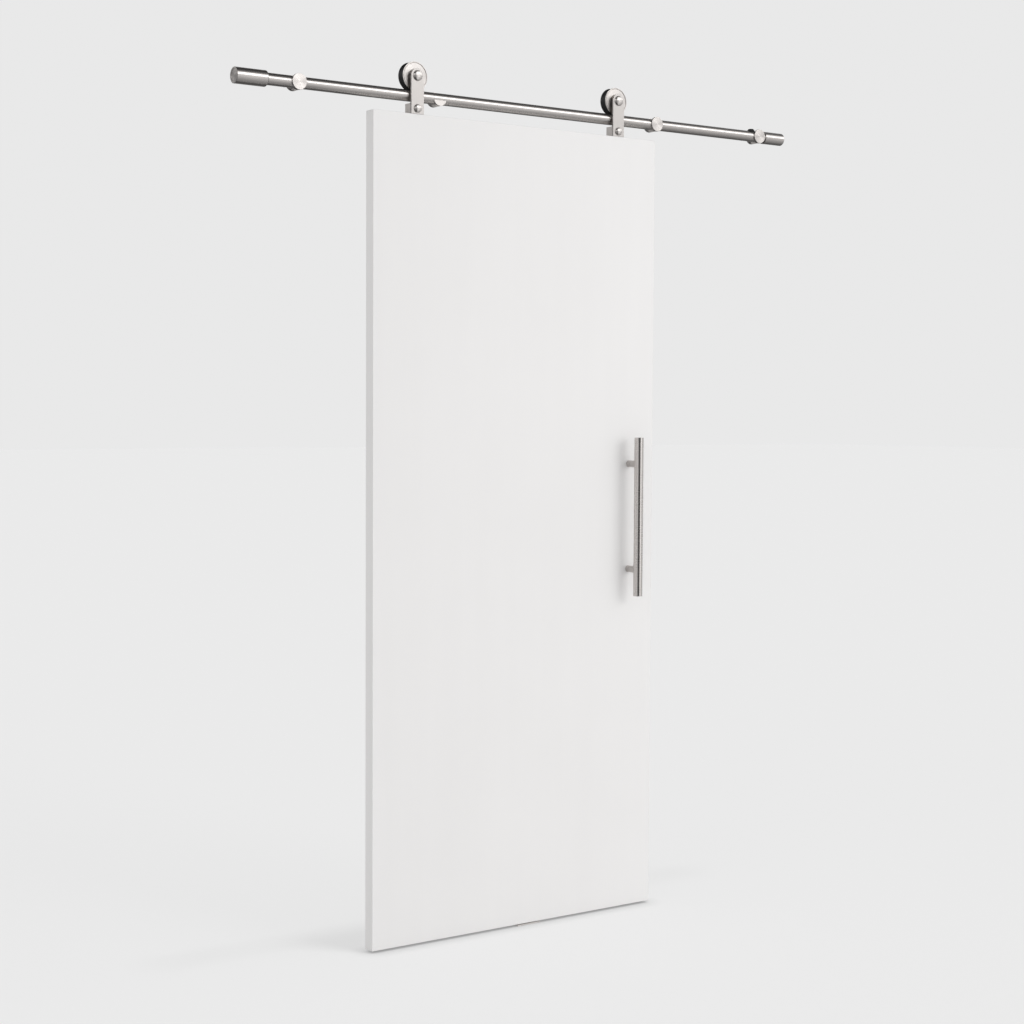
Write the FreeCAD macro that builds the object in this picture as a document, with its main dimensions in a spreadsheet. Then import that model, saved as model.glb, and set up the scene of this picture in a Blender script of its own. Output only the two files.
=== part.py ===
"""Round-rail sliding barn door hardware with its door, as a parametric FreeCAD document.

Frame: millimetres, +Z up, +X along the rail to the right of somebody facing the door, +Y into the wall.
The origin is on the wall's face, at the height of the rail's axis, midway between the outer standoffs.
Every piece is drawn from the rail's axis: its own Y and Z are measured from there, and its Placement
moves it out from the wall.
"""

import FreeCAD, Part
import os
import re

import Sketcher
from FreeCAD import Rotation, Vector

DOC = FreeCAD.newDocument("SlidingDoorHardware")

SIZES = {
    # rail: two lengths of round tube, butted together over a spigot
    "rail_to_wall": 21.0,
    "tube_diameter": 30.0,
    "tube_wall": 2.0,
    "rail_left": -924.0,
    "rail_right": 852.0,
    "seam_place": -366.0,
    "spigot_length": 120.0,
    "splice_screw_offset": 43.0,
    # sleeves over the rail's ends; the left one is also a stop
    "sleeve_left_end": -930.0,
    "sleeve_left_length": 83.5,
    "sleeve_left_diameter": 40.0,
    "sleeve_right_end": 858.0,
    "sleeve_right_length": 72.0,
    "sleeve_right_diameter": 35.0,
    "plug_thickness": 5.5,
    "bumper_thickness": 1.5,
    "set_screw_diameter": 5.0,
    "set_screw_spacing": 36.0,
    # right stop: a rubber button on top of the rail
    "button_place": 741.0,
    "button_diameter": 22.0,
    "button_shoulder": 16.0,
    "button_top": 21.0,
    "button_screw_head": 9.0,
    # wall standoffs
    "standoff_one": -760.0,
    "standoff_two": -348.0,
    "standoff_three": 374.0,
    "standoff_four": 760.0,
    "standoff_diameter": 38.0,
    "cradle_lip": 5.0,
    "cap_diameter": 40.0,
    "cap_front": 17.8,
    "wheel_lane": 12.6,
    "stud_diameter": 8.0,
    "stud_front_diameter": 10.0,
    "stud_reach": 50.0,
    # door and how it hangs
    "door_left": -554.0,
    "door_width": 914.4,
    "door_height": 2133.6,
    "door_thickness": 35.0,
    "door_front": 24.0,
    "door_drop": 48.0,
    "edge_band": 1.5,
    "groove_width": 8.0,
    "groove_depth": 14.0,
    # hangers
    "wheel_left_place": -422.5,
    "wheel_right_place": 230.5,
    "axle_height": 48.8,
    "axle_diameter": 12.0,
    "strap_width": 38.0,
    "strap_thickness": 5.5,
    "block_height": 27.0,
    "block_depth": 24.0,
    "clamp_height": 14.0,
    "clamp_diameter": 8.0,
    "clamp_head_diameter": 22.0,
    "axle_head_diameter": 27.0,
    "head_thickness": 6.0,
    "top_screw_diameter": 5.0,
    "top_screw_spacing": 22.0,
    "top_screw_length": 65.0,
    "nut_thickness": 6.0,
    "nut_across_corners": 21.4,
    # wheels
    "wheel_diameter": 74.0,
    "core_half_width": 10.6,
    "tread_gap": 0.4,
    "face_thickness": 1.5,
    "rim_width": 2.2,
    "rim_step": 0.4,
    "back_diameter": 68.0,
    "hub_hole_diameter": 20.0,
    # ball bearing
    "bearing_diameter": 32.0,
    "bearing_half_width": 5.0,
    "race_inner_diameter": 17.0,
    "race_outer_bore": 27.0,
    "ball_diameter": 4.6,
    "ball_count": 8,
    # handle
    "handle_place": 276.0,
    "handle_height": 1091.9,
    "bar_diameter": 25.0,
    "bar_length": 438.0,
    "bar_wall": 1.5,
    "bar_standoff": 44.0,
    "post_diameter": 19.0,
    "post_spacing": 292.0,
    "handle_bolt_diameter": 8.0,
    "handle_bolt_head": 13.0,
    "handle_bolt_head_thickness": 5.0,
    "counterbore_depth": 8.0,
    # floor guide
    "guide_place": -56.0,
    "floor_gap": 6.0,
    "guide_length": 75.0,
    "guide_width": 30.0,
    "guide_thickness": 3.0,
    "fin_length": 20.0,
    "fin_thickness": 5.0,
    "fin_top": 11.0,
    "guide_hole_diameter": 5.2,
    "guide_hole_pitch": 54.0,
    "guide_hole_span": 16.0,
    # shared fits and edges
    "slip": 0.05,
    "edge_break": 1.0,
}

WHEELS = {"left": "wheel_left_place", "right": "wheel_right_place"}
STANDOFFS = {1: "standoff_one", 2: "standoff_two", 3: "standoff_three", 4: "standoff_four"}
CAPPED = (1, 3, 4)
QUARTER_TURN = -90
OVERSHOOT = "1"


def fill_sheet():
    """Writes each driving size to the sheet, with its name as the alias of its cell."""
    sheet = DOC.addObject("Spreadsheet::Sheet", "Sizes")
    for row, (name, size) in enumerate(SIZES.items(), start=1):
        sheet.set(f"A{row}", name)
        sheet.set(f"B{row}", str(size))
        sheet.setAlias(f"B{row}", name)
    DOC.recompute()
    return sheet


SHEET = fill_sheet()
PIECES = []


def linked(expression):
    """The expression with each size named as a cell of the sheet."""
    return re.sub(r"[a-z_]+", lambda word: f"Sizes.{word[0]}" if word[0] in SIZES else word[0], expression)


def value(expression):
    """What an expression in sizes comes to now."""
    return float(SHEET.evalExpression(expression))


def bind(target, path, expression):
    """Ties one property of an object to sizes in the sheet."""
    target.setExpression(path, linked(expression))


def piece(label, across="0", up="0"):
    """A new body whose own origin lies above, below or beside the rail's axis."""
    body = DOC.addObject("PartDesign::Body", label)
    body.Label = label
    body.AllowCompound = True
    bind(body, "Placement.Base.x", across)
    bind(body, "Placement.Base.y", "-rail_to_wall")
    bind(body, "Placement.Base.z", up)
    PIECES.append(body)
    return body


def origin_feature(body, role):
    return next(feature for feature in body.Origin.OriginFeatures if feature.Role == role)


def sketch_on(body, role):
    """An empty sketch on one of the body's own origin planes."""
    sketch = body.newObject("Sketcher::SketchObject", f"{body.Name}_sketch")
    sketch.AttachmentSupport = [(origin_feature(body, role), "")]
    sketch.MapMode = "FlatFace"
    return sketch


def hold_corner(sketch, line, expressions):
    """Holds a line's first end at a place given by two expressions, on an axis where one is zero."""
    kinds = (("DistanceX", -2), ("DistanceY", -1))
    for (kind, axis), expression in zip(kinds, expressions):
        if expression == "0":
            sketch.addConstraint(Sketcher.Constraint("PointOnObject", line, 1, axis))
            continue
        rule = Sketcher.Constraint(kind, -1, 1, line, 1, value(expression))
        bind(sketch, f"Constraints[{sketch.addConstraint(rule)}]", expression)


def outline(sketch, corners):
    """A closed outline of straight lines through corners, each an (x, y) pair of expressions."""
    places = [Vector(value(x), value(y), 0) for x, y in corners]
    count = len(places)
    for index in range(count):
        sketch.addGeometry(Part.LineSegment(places[index], places[(index + 1) % count]))
    for index in range(count):
        sketch.addConstraint(Sketcher.Constraint("Coincident", index, 2, (index + 1) % count, 1))
    for index, corner in enumerate(corners):
        hold_corner(sketch, index, corner)


def turn(body, axis, corners, cut=False):
    """Turns an outline about the body's X or Y axis in the XY plane, or about Z in the XZ plane."""
    sketch = sketch_on(body, "XZ_Plane" if axis == "Z" else "XY_Plane")
    outline(sketch, corners)
    kind = "Groove" if cut else "Revolution"
    feature = body.newObject(f"PartDesign::{kind}", f"{body.Name}_{kind.lower()}")
    feature.Profile = sketch
    feature.ReferenceAxis = (sketch, ["H_Axis" if axis == "X" else "V_Axis"])
    feature.Angle = 360
    return feature


def primitive(body, shape, cut, **sizes):
    """Adds or cuts one PartDesign primitive with its sizes tied to the sheet."""
    kind = ("Subtractive" if cut else "Additive") + shape
    feature = body.newObject(f"PartDesign::{kind}", f"{body.Name}_{shape.lower()}")
    for name, expression in sizes.items():
        bind(feature, name, expression)
    return feature


def put(feature, place):
    """Ties a primitive's own place to three expressions."""
    for axis, expression in zip("xyz", place):
        bind(feature, f"Placement.Base.{axis}", expression)


def block(body, low, size, cut=False):
    """A box from its lowest corner."""
    length, width, height = size
    feature = primitive(body, "Box", cut, Length=length, Width=width, Height=height)
    put(feature, low)
    return feature


def aim(feature, axis):
    """Lays a primitive that stands along Z along X or Y instead."""
    if axis == "X":
        feature.Placement.Rotation = Rotation(Vector(0, 1, 0), -QUARTER_TURN)
    if axis == "Y":
        feature.Placement.Rotation = Rotation(Vector(1, 0, 0), QUARTER_TURN)


def rod(body, axis, start, radius, length, cut=False):
    """A cylinder from the middle of its first end, along one axis."""
    feature = primitive(body, "Cylinder", cut, Radius=radius, Height=length)
    aim(feature, axis)
    put(feature, start)
    return feature


def cone(body, axis, start, radii, length, cut=False):
    """A cone from the middle of its first end, along one axis."""
    feature = primitive(body, "Cone", cut, Radius1=radii[0], Radius2=radii[1], Height=length)
    aim(feature, axis)
    put(feature, start)
    return feature


def repeat(body, feature, axis, spacing):
    """A second copy of a feature, one spacing along an axis of the body."""
    pattern = body.newObject("PartDesign::LinearPattern", f"{body.Name}_pair")
    pattern.Originals = [feature]
    pattern.Direction = (origin_feature(body, f"{axis}_Axis"), [""])
    pattern.Occurrences = 2
    bind(pattern, "Length", spacing)
    body.Tip = pattern


def round_front(body, feature, front):
    """Rounds a turned head's front edge into a dome; front is the edge's place along Y."""
    DOC.recompute()
    level = value(front)
    edges = enumerate(feature.Shape.Edges, start=1)
    names = [f"Edge{n}" for n, edge in edges if is_ring_at(edge, level)]
    dome = body.newObject("PartDesign::Fillet", f"{body.Name}_dome")
    dome.Base = (feature, names)
    bind(dome, "Radius", "head_thickness - slip * 4")
    body.Tip = dome


def is_ring_at(edge, level):
    """Whether an edge is a full ring square to Y at a place along it."""
    box = edge.BoundBox
    return edge.Closed and abs(box.YMin - level) < 1e-6 and abs(box.YMax - level) < 1e-6


def tube_channel(body, half_length):
    """Cuts the rail's round away along X, with a slip fit."""
    turn(
        body,
        "X",
        [
            (f"-({half_length})", "0"),
            (half_length, "0"),
            (half_length, "tube_diameter / 2 + slip"),
            (f"-({half_length})", "tube_diameter / 2 + slip"),
        ],
        cut=True,
    )


# ---------------------------------------------------------------- rail


def rail_length(label, start, end, stud_places, screw_place):
    """One length of rail tube, bored for the studs that cross it and the splice screw under it."""
    body = piece(label)
    bore = "tube_diameter / 2 - tube_wall"
    corners = [(start, bore), (end, bore), (end, "tube_diameter / 2"), (start, "tube_diameter / 2")]
    turn(body, "X", corners)
    for place in stud_places:
        hole = "stud_front_diameter / 2 + slip * 4"
        rod(body, "Y", (place, "-tube_diameter", "0"), hole, "tube_diameter * 2", True)
    rod(body, "Z", (screw_place, "0", "-tube_diameter"), "set_screw_diameter / 2 + slip", "tube_diameter", True)
    return body


def rail_tubes():
    left_screw = "seam_place - splice_screw_offset"
    right_screw = "seam_place + splice_screw_offset"
    rail_length("rail_tube_left", "rail_left", "seam_place", ["standoff_one"], left_screw)
    right = rail_length(
        "rail_tube_right", "seam_place", "rail_right", ["standoff_three", "standoff_four"], right_screw
    )
    rod(right, "Z", ("button_place", "0", "0"), "set_screw_diameter / 2 + slip", "tube_diameter", True)


def splice():
    """The solid spigot inside the seam and the two grub screws that hold it from below."""
    spigot = piece("splice_spigot", across="seam_place")
    half = "spigot_length / 2"
    radius = "tube_diameter / 2 - tube_wall - slip"
    turn(
        spigot,
        "X",
        [
            (f"-{half}", "0"),
            (half, "0"),
            (half, f"{radius} - edge_break"),
            (f"{half} - edge_break", radius),
            (f"-{half} + edge_break", radius),
            (f"-{half}", f"{radius} - edge_break"),
        ],
    )
    for place in ("-splice_screw_offset", "splice_screw_offset"):
        depth = "tube_diameter / 2 - tube_wall * 4"
        rod(spigot, "Z", (place, "0", "-tube_diameter"), "set_screw_diameter / 2", f"tube_diameter - ({depth})", True)
    screws = piece("splice_screws", across="seam_place")
    low = "-tube_diameter / 2 + slip * 6"
    screw = rod(
        screws, "Z", ("-splice_screw_offset", "0", low), "set_screw_diameter / 2", "tube_wall * 4 - slip * 6"
    )
    repeat(screws, screw, "X", "splice_screw_offset * 2")


def end_sleeve(side, end, length, diameter, inward):
    """A sleeve over the rail's end, its flat plug and the grub screws that lock it."""
    mouth = f"{end} + {inward} * {length}"
    bore = "tube_diameter / 2 + slip"
    radius = f"{diameter} / 2"
    sleeve = piece(f"end_sleeve_{side}")
    turn(
        sleeve,
        "X",
        [
            (end, bore),
            (mouth, bore),
            (mouth, f"{radius} - edge_break"),
            (f"{mouth} - {inward} * edge_break", radius),
            (f"{end} + {inward} * edge_break", radius),
            (end, f"{radius} - edge_break"),
        ],
    )
    first_screw = f"({end} + {mouth}) / 2 - set_screw_spacing / 2"
    hole = rod(
        sleeve, "Z", (first_screw, "0", f"-{radius} - 1"), "set_screw_diameter / 2 + slip", f"{radius}", True
    )
    repeat(sleeve, hole, "X", "set_screw_spacing")
    plug = piece(f"end_plug_{side}", across=end)
    near, far = f"{inward} * slip * 8", f"{inward} * plug_thickness"
    turn(plug, "X", [(near, "0"), (far, "0"), (far, "tube_diameter / 2"), (near, "tube_diameter / 2")])
    screws = piece(f"sleeve_screws_{side}")
    screw = rod(
        screws,
        "Z",
        (first_screw, "0", f"-{radius} + edge_break / 2"),
        "set_screw_diameter / 2",
        f"{radius} - edge_break / 2 - tube_diameter / 2",
    )
    repeat(screws, screw, "X", "set_screw_spacing")


def bumper_ring():
    """The rubber ring on the left sleeve's inner end, which stops the left wheel."""
    ring = piece("bumper_ring", across="sleeve_left_end + sleeve_left_length")
    bore, outer = "tube_diameter / 2 + slip", "sleeve_left_diameter / 2 - edge_break"
    turn(ring, "X", [("0", bore), ("bumper_thickness", bore), ("bumper_thickness", outer), ("0", outer)])


def stop_button():
    """The rubber button on top of the rail that stops the right wheel, and the screw through it."""
    button = piece("stop_button", across="button_place")
    radius, hole, head = "button_diameter / 2", "set_screw_diameter / 2 + slip", "button_screw_head / 2 + slip * 4"
    seat = "button_shoulder + edge_break"
    corners = [
        (hole, "tube_diameter / 4"),
        (radius, "tube_diameter / 4"),
        (radius, "button_shoulder"),
        (f"{radius} - edge_break * 3", "button_top - edge_break"),
        (f"{radius} - edge_break * 5", "button_top"),
        (head, "button_top"),
        (head, seat),
        (hole, seat),
    ]
    turn(button, "Z", corners)
    tube_channel(button, "button_diameter")
    screw = piece("stop_button_screw", across="button_place")
    low = "tube_diameter / 2 - tube_wall * 4"
    shank, top = "set_screw_diameter / 2", "button_top - edge_break"
    foot = f"{seat} + slip * 2"
    corners = [("0", low), (shank, low), (shank, foot)]
    corners += [("button_screw_head / 2", foot), ("button_screw_head / 2", top), ("0", top)]
    turn(screw, "Z", corners)


# ---------------------------------------------------------------- standoffs


def cradle(number, place):
    """A round post from the wall that holds the rail from below and behind, open above for the wheels."""
    body = piece(f"standoff_{number}", across=place)
    capped = number in CAPPED
    radius = "standoff_diameter / 2"
    front = "(wheel_lane - slip)" if capped else "tube_diameter / 2"
    bolt = "stud_front_diameter" if capped else "stud_diameter"
    turn(
        body,
        "Y",
        [
            ("0", f"-{front}"),
            (f"{radius} - edge_break", f"-{front}"),
            (radius, f"-{front} + edge_break"),
            (radius, "rail_to_wall"),
            ("0", "rail_to_wall"),
        ],
    )
    tube_channel(body, "standoff_diameter")
    block(
        body,
        ("-standoff_diameter", "-standoff_diameter", "-cradle_lip"),
        ("standoff_diameter * 2", "standoff_diameter + wheel_lane", "standoff_diameter"),
        True,
    )
    rod(body, "Y", ("0", "0", "0"), f"{bolt} / 2 + slip * 4", "rail_to_wall + 1", True)
    if not capped:
        head = "stud_diameter / 2"
        start = "tube_diameter / 2 - slip"
        cone(body, "Y", ("0", start, "0"), ("stud_diameter", f"{head} + slip * 4"), f"{head} - slip * 4", True)


def cap(number, place):
    """The round cap on a stud's end, hollowed at the back to sit on the rail."""
    body = piece(f"standoff_cap_{number}", across=place)
    radius = "cap_diameter / 2"
    turn(
        body,
        "Y",
        [
            ("0", "-cap_front"),
            (f"{radius} - edge_break", "-cap_front"),
            (radius, "-cap_front + edge_break"),
            (radius, "-wheel_lane"),
            ("0", "-wheel_lane"),
        ],
    )
    tube_channel(body, "cap_diameter")
    rod(body, "Y", ("0", "-cap_front + edge_break", "0"), "stud_front_diameter / 2 + slip", "cap_front", True)


def wall_stud(number, place):
    """A hanger bolt from a cap's back, across the rail and the cradle, then thinner into the wall to a point."""
    body = piece(f"wall_stud_{number}", across=place)
    front, radius = "stud_front_diameter / 2", "stud_diameter / 2"
    start = "-cap_front + edge_break + slip * 2"
    end = "rail_to_wall + stud_reach"
    corners = [
        ("0", start),
        (front, start),
        (front, "rail_to_wall"),
        (radius, "rail_to_wall"),
        (radius, f"{end} - stud_diameter"),
        ("0", end),
    ]
    turn(body, "Y", corners)


def wall_screw(number, place):
    """The countersunk screw of the cradle that has no cap, its head hidden behind the rail."""
    body = piece(f"wall_screw_{number}", across=place)
    head, radius, neck = "stud_diameter - slip * 8", "stud_diameter / 2", "stud_diameter / 2 - edge_break"
    start = "tube_diameter / 2 + slip * 4"
    end = "rail_to_wall + stud_reach"
    corners = [
        ("0", start),
        (head, start),
        (neck, f"{start} + {head} - ({neck})"),
        (neck, "rail_to_wall"),
        (radius, "rail_to_wall"),
        (radius, f"{end} - stud_diameter"),
        ("0", end),
    ]
    turn(body, "Y", corners)


# ---------------------------------------------------------------- hangers


def strap(side, place):
    """The flat strap from the door's top edge up to the axle, round above it."""
    body = piece(f"hanger_strap_{side}", across=place)
    half = "strap_width / 2"
    block(body, (f"-{half}", "-door_front", "-door_drop"), ("strap_width", "strap_thickness", "door_drop + axle_height"))
    rod(body, "Y", ("0", "-door_front", "axle_height"), half, "strap_thickness")
    front = "-door_front - 1"
    rod(body, "Y", ("0", front, "axle_height"), "axle_diameter / 2 + slip", "strap_thickness + 2", True)
    clamp_at = "clamp_height - door_drop"
    rod(body, "Y", ("0", front, clamp_at), "clamp_diameter / 2 + slip", "strap_thickness + 2", True)


def clamp_block(side, place):
    """The block behind the strap, screwed down on the door's top edge and just under the rail."""
    body = piece(f"hanger_block_{side}", across=place)
    back = "strap_thickness - door_front"
    size = ("strap_width", "block_depth", "block_height")
    block(body, ("-strap_width / 2", back, "-door_drop"), size)
    hole_at = ("0", f"{back} - 1", "clamp_height - door_drop")
    rod(body, "Y", hole_at, "clamp_diameter / 2 + slip", "block_depth - 3", True)
    middle = f"{back} + block_depth / 2"
    top = "block_height - door_drop"
    depth = "top_screw_diameter / 2 + slip * 4"
    for across in ("-top_screw_spacing / 2", "top_screw_spacing / 2"):
        rod(body, "Z", (across, middle, "-door_drop - 1"), "top_screw_diameter / 2 + slip", "block_height + 2", True)
        radii = ("top_screw_diameter / 2 + slip", "top_screw_diameter + slip * 5")
        cone(body, "Z", (across, middle, f"{top} - ({depth})"), radii, depth, True)


def top_screws(side, place):
    """The two wood screws that hold the block to the door's top edge."""
    body = piece(f"top_screws_{side}", across=place)
    middle = "strap_thickness - door_front + block_depth / 2"
    top = "block_height - door_drop - slip * 2"
    radius = "top_screw_diameter / 2"
    first = "-top_screw_spacing / 2"
    head = cone(body, "Z", (first, middle, f"{top} - {radius}"), (radius, "top_screw_diameter - slip * 2"), radius)
    shank = rod(body, "Z", (first, middle, f"{top} - top_screw_length"), radius, f"top_screw_length - {radius}")
    pattern = body.newObject("PartDesign::LinearPattern", f"{body.Name}_pair")
    pattern.Originals = [head, shank]
    pattern.Direction = (origin_feature(body, "X_Axis"), [""])
    pattern.Occurrences = 2
    bind(pattern, "Length", "top_screw_spacing")
    body.Tip = pattern


def domed_bolt(label, place, height, head_diameter, shank_diameter, end):
    """A bolt whose domed head sits on the strap's face; end is its far end along Y."""
    body = piece(label, across=place, up=height)
    front = "-door_front - head_thickness"
    head, shank = f"{head_diameter} / 2", f"{shank_diameter} / 2"
    feature = turn(
        body,
        "Y",
        [
            ("0", front),
            (head, front),
            (head, "-door_front"),
            (shank, "-door_front"),
            (shank, end),
            ("0", end),
        ],
    )
    round_front(body, feature, front)


def spacer(label, place, start, end):
    """A plain ring on the axle."""
    body = piece(label, across=place, up="axle_height")
    bore, outer = "axle_diameter / 2 + slip", "race_inner_diameter / 2"
    turn(body, "Y", [(bore, start), (outer, start), (outer, end), (bore, end)])


def axle_nut(side, place):
    """The hexagon nut at the axle's back end."""
    body = piece(f"axle_nut_{side}", across=place, up="axle_height")
    nut = primitive(body, "Prism", False, Circumradius="nut_across_corners / 2", Height="nut_thickness")
    nut.Polygon = 6
    aim(nut, "Y")
    put(nut, ("0", "wheel_lane", "0"))
    rod(body, "Y", ("0", "wheel_lane - 1", "0"), "axle_diameter / 2 + slip", "nut_thickness + 2", True)


def hanger(side, place):
    strap(side, place)
    clamp_block(side, place)
    top_screws(side, place)
    clamp_end = "strap_thickness - door_front + block_depth - 5"
    domed_bolt(
        f"clamp_bolt_{side}", place, "clamp_height - door_drop", "clamp_head_diameter", "clamp_diameter", clamp_end
    )
    axle_end = "wheel_lane + nut_thickness"
    domed_bolt(f"axle_bolt_{side}", place, "axle_height", "axle_head_diameter", "axle_diameter", axle_end)
    spacer(f"front_spacer_{side}", place, "strap_thickness - door_front", "-bearing_half_width")
    spacer(f"bearing_inner_race_{side}", place, "-bearing_half_width", "bearing_half_width")
    spacer(f"rear_spacer_{side}", place, "bearing_half_width", "wheel_lane")
    axle_nut(side, place)


# ---------------------------------------------------------------- wheels


def wheel_core(side, place):
    """The nylon wheel, its rim hollowed to ride on the rail."""
    body = piece(f"wheel_core_{side}", across=place, up="axle_height")
    bore, rim = "bearing_diameter / 2 + slip", "wheel_diameter / 2"
    turn(
        body,
        "Y",
        [(bore, "-core_half_width"), (rim, "-core_half_width"), (rim, "core_half_width"), (bore, "core_half_width")],
    )
    hollow = primitive(
        body, "Torus", True, Radius1="axle_height", Radius2="tube_diameter / 2 + tread_gap"
    )
    aim(hollow, "Y")


def wheel_face(side, place):
    """The front steel disc, with a raised rim round its edge."""
    body = piece(f"wheel_face_{side}", across=place, up="axle_height")
    hole, rim = "hub_hole_diameter / 2", "wheel_diameter / 2"
    inner = f"{rim} - rim_width"
    back = "-core_half_width"
    front = f"{back} - face_thickness"
    corners = [
        (hole, f"{front} + rim_step"),
        (inner, f"{front} + rim_step"),
        (inner, front),
        (rim, front),
        (rim, back),
        (hole, back),
    ]
    turn(body, "Y", corners)


def wheel_back(side, place):
    """The plain rear steel disc."""
    body = piece(f"wheel_back_{side}", across=place, up="axle_height")
    hole, rim = "hub_hole_diameter / 2", "back_diameter / 2"
    front, back = "core_half_width", "core_half_width + edge_break"
    turn(body, "Y", [(hole, front), (rim, front), (rim, back), (hole, back)])


def outer_race(side, place):
    body = piece(f"bearing_outer_race_{side}", across=place, up="axle_height")
    bore, rim = "race_outer_bore / 2", "bearing_diameter / 2"
    half = "bearing_half_width"
    turn(body, "Y", [(bore, f"-{half}"), (rim, f"-{half}"), (rim, half), (bore, half)])


def bearing_balls(side, place):
    """A ring of balls between the two races."""
    body = piece(f"bearing_balls_{side}", across=place, up="axle_height")
    ball = primitive(body, "Sphere", False, Radius="ball_diameter / 2")
    put(ball, ("(race_outer_bore + race_inner_diameter) / 4", "0", "0"))
    ring = body.newObject("PartDesign::PolarPattern", f"{body.Name}_ring")
    ring.Originals = [ball]
    ring.Axis = (origin_feature(body, "Y_Axis"), [""])
    ring.Angle = 360
    bind(ring, "Occurrences", "ball_count")
    body.Tip = ring


def wheel(side, place):
    wheel_core(side, place)
    wheel_face(side, place)
    wheel_back(side, place)
    outer_race(side, place)
    bearing_balls(side, place)


# ---------------------------------------------------------------- door


def door_panel():
    """The flat slab, its bottom groove closed by the edge bands, drilled for its hangers and handle."""
    body = piece("door_panel", across="door_left", up="-door_drop - door_height")
    slab = block(body, ("0", "-door_front", "0"), ("door_width", "door_thickness", "door_height"))
    edges = body.newObject("PartDesign::Fillet", f"{body.Name}_edges")
    edges.Base = (slab, [f"Edge{n}" for n in range(1, 13)])
    bind(edges, "Radius", "edge_break")
    body.Tip = edges
    middle = "door_thickness / 2 - door_front"
    block(
        body,
        ("edge_band", f"{middle} - groove_width / 2", "-1"),
        ("door_width - edge_band * 2", "groove_width", "groove_depth + 1"),
        True,
    )
    screw_line = "strap_thickness - door_front + block_depth / 2"
    screw_depth = "top_screw_length - block_height + 2"
    for place in WHEELS.values():
        for offset in ("-top_screw_spacing / 2", "top_screw_spacing / 2"):
            start = (f"{place} - door_left + {offset}", screw_line, f"door_height - ({screw_depth})")
            rod(body, "Z", start, "top_screw_diameter / 2 + slip", f"{screw_depth} + 1", True)
    for offset in ("-post_spacing / 2", "post_spacing / 2"):
        across, up = "handle_place - door_left", f"handle_height + {offset}"
        rod(body, "Y", (across, "-door_front - 1", up), "handle_bolt_diameter / 2 + slip", "door_thickness + 2", True)
        back = "door_thickness - door_front - counterbore_depth"
        rod(body, "Y", (across, back, up), "handle_bolt_head / 2 + edge_break", "counterbore_depth + 1", True)


HANDLE_LEVEL = "handle_height - door_drop - door_height"
BAR_LINE = "-door_front - bar_standoff"


def handle_bar():
    """The round bar, a tube closed by a disc let into each end."""
    bar = piece("handle_bar", across="handle_place", up=HANDLE_LEVEL)
    radius, half = "bar_diameter / 2", "bar_length / 2"
    rod(bar, "Z", ("0", BAR_LINE, f"-{half}"), radius, "bar_length")
    rod(bar, "Z", ("0", BAR_LINE, f"-{half} - 1"), f"{radius} - bar_wall", "bar_length + 2", True)
    caps = piece("handle_end_caps", across="handle_place", up=HANDLE_LEVEL)
    low = rod(caps, "Z", ("0", BAR_LINE, f"-{half} + slip * 4"), f"{radius} - bar_wall", "bar_wall * 2")
    repeat(caps, low, "Z", "bar_length - bar_wall * 2 - slip * 8")


def handle_post(name, offset):
    """A round post from the door's face to the bar, hollowed at its front to fit the bar."""
    body = piece(f"handle_post_{name}", across="handle_place", up=f"{HANDLE_LEVEL} + {offset}")
    rod(body, "Y", ("0", BAR_LINE, "0"), "post_diameter / 2", "bar_standoff")
    rod(body, "Z", ("0", BAR_LINE, "-post_diameter"), "bar_diameter / 2 + slip", "post_diameter * 2", True)
    hole = "handle_bolt_diameter / 2 + slip"
    rod(body, "Y", ("0", "-door_front - bar_standoff / 2", "0"), hole, "bar_standoff", True)


def handle_bolts():
    """The two bolts through the door from its back, their heads below its surface."""
    body = piece("handle_bolts", across="handle_place", up=f"{HANDLE_LEVEL} - post_spacing / 2")
    start = "-door_front - bar_standoff / 2 + 1"
    seat = "door_thickness - door_front - counterbore_depth"
    shank, head = "handle_bolt_diameter / 2", "handle_bolt_head / 2"
    end = f"{seat} + handle_bolt_head_thickness"
    bolt = turn(body, "Y", [("0", start), (shank, start), (shank, seat), (head, seat), (head, end), ("0", end)])
    repeat(body, bolt, "Z", "post_spacing")


# ---------------------------------------------------------------- floor guide


def floor_guide():
    """A plate on the floor with an upright fin that runs in the door's bottom groove."""
    floor = "-door_drop - door_height - floor_gap"
    middle = "door_thickness / 2 - door_front"
    plate = piece("floor_guide_plate", across="guide_place", up=floor)
    size = ("guide_length", "guide_width", "guide_thickness")
    block(plate, ("-guide_length / 2", f"{middle} - guide_width / 2", "0"), size)
    for across in ("-guide_hole_pitch / 2", "guide_hole_pitch / 2"):
        for deep in ("-guide_hole_span / 2", "guide_hole_span / 2"):
            start = (across, f"{middle} + {deep}", "-1")
            rod(plate, "Z", start, "guide_hole_diameter / 2", "guide_thickness + 2", True)
    fin = piece("floor_guide_fin", across="guide_place", up=floor)
    size = ("fin_length", "fin_thickness", "floor_gap + fin_top - guide_thickness")
    block(fin, ("-fin_length / 2", f"{middle} - fin_thickness / 2", "guide_thickness"), size)


# ---------------------------------------------------------------- assembly


def build():
    rail_tubes()
    splice()
    end_sleeve("left", "sleeve_left_end", "sleeve_left_length", "sleeve_left_diameter", "1")
    end_sleeve("right", "sleeve_right_end", "sleeve_right_length", "sleeve_right_diameter", "(-1)")
    bumper_ring()
    stop_button()
    for number, place in STANDOFFS.items():
        cradle(number, place)
        if number in CAPPED:
            cap(number, place)
            wall_stud(number, place)
        else:
            wall_screw(number, place)
    for side, place in WHEELS.items():
        hanger(side, place)
        wheel(side, place)
    door_panel()
    handle_bar()
    handle_post("lower", "-post_spacing / 2")
    handle_post("upper", "post_spacing / 2")
    handle_bolts()
    floor_guide()
    DOC.recompute()


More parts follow.
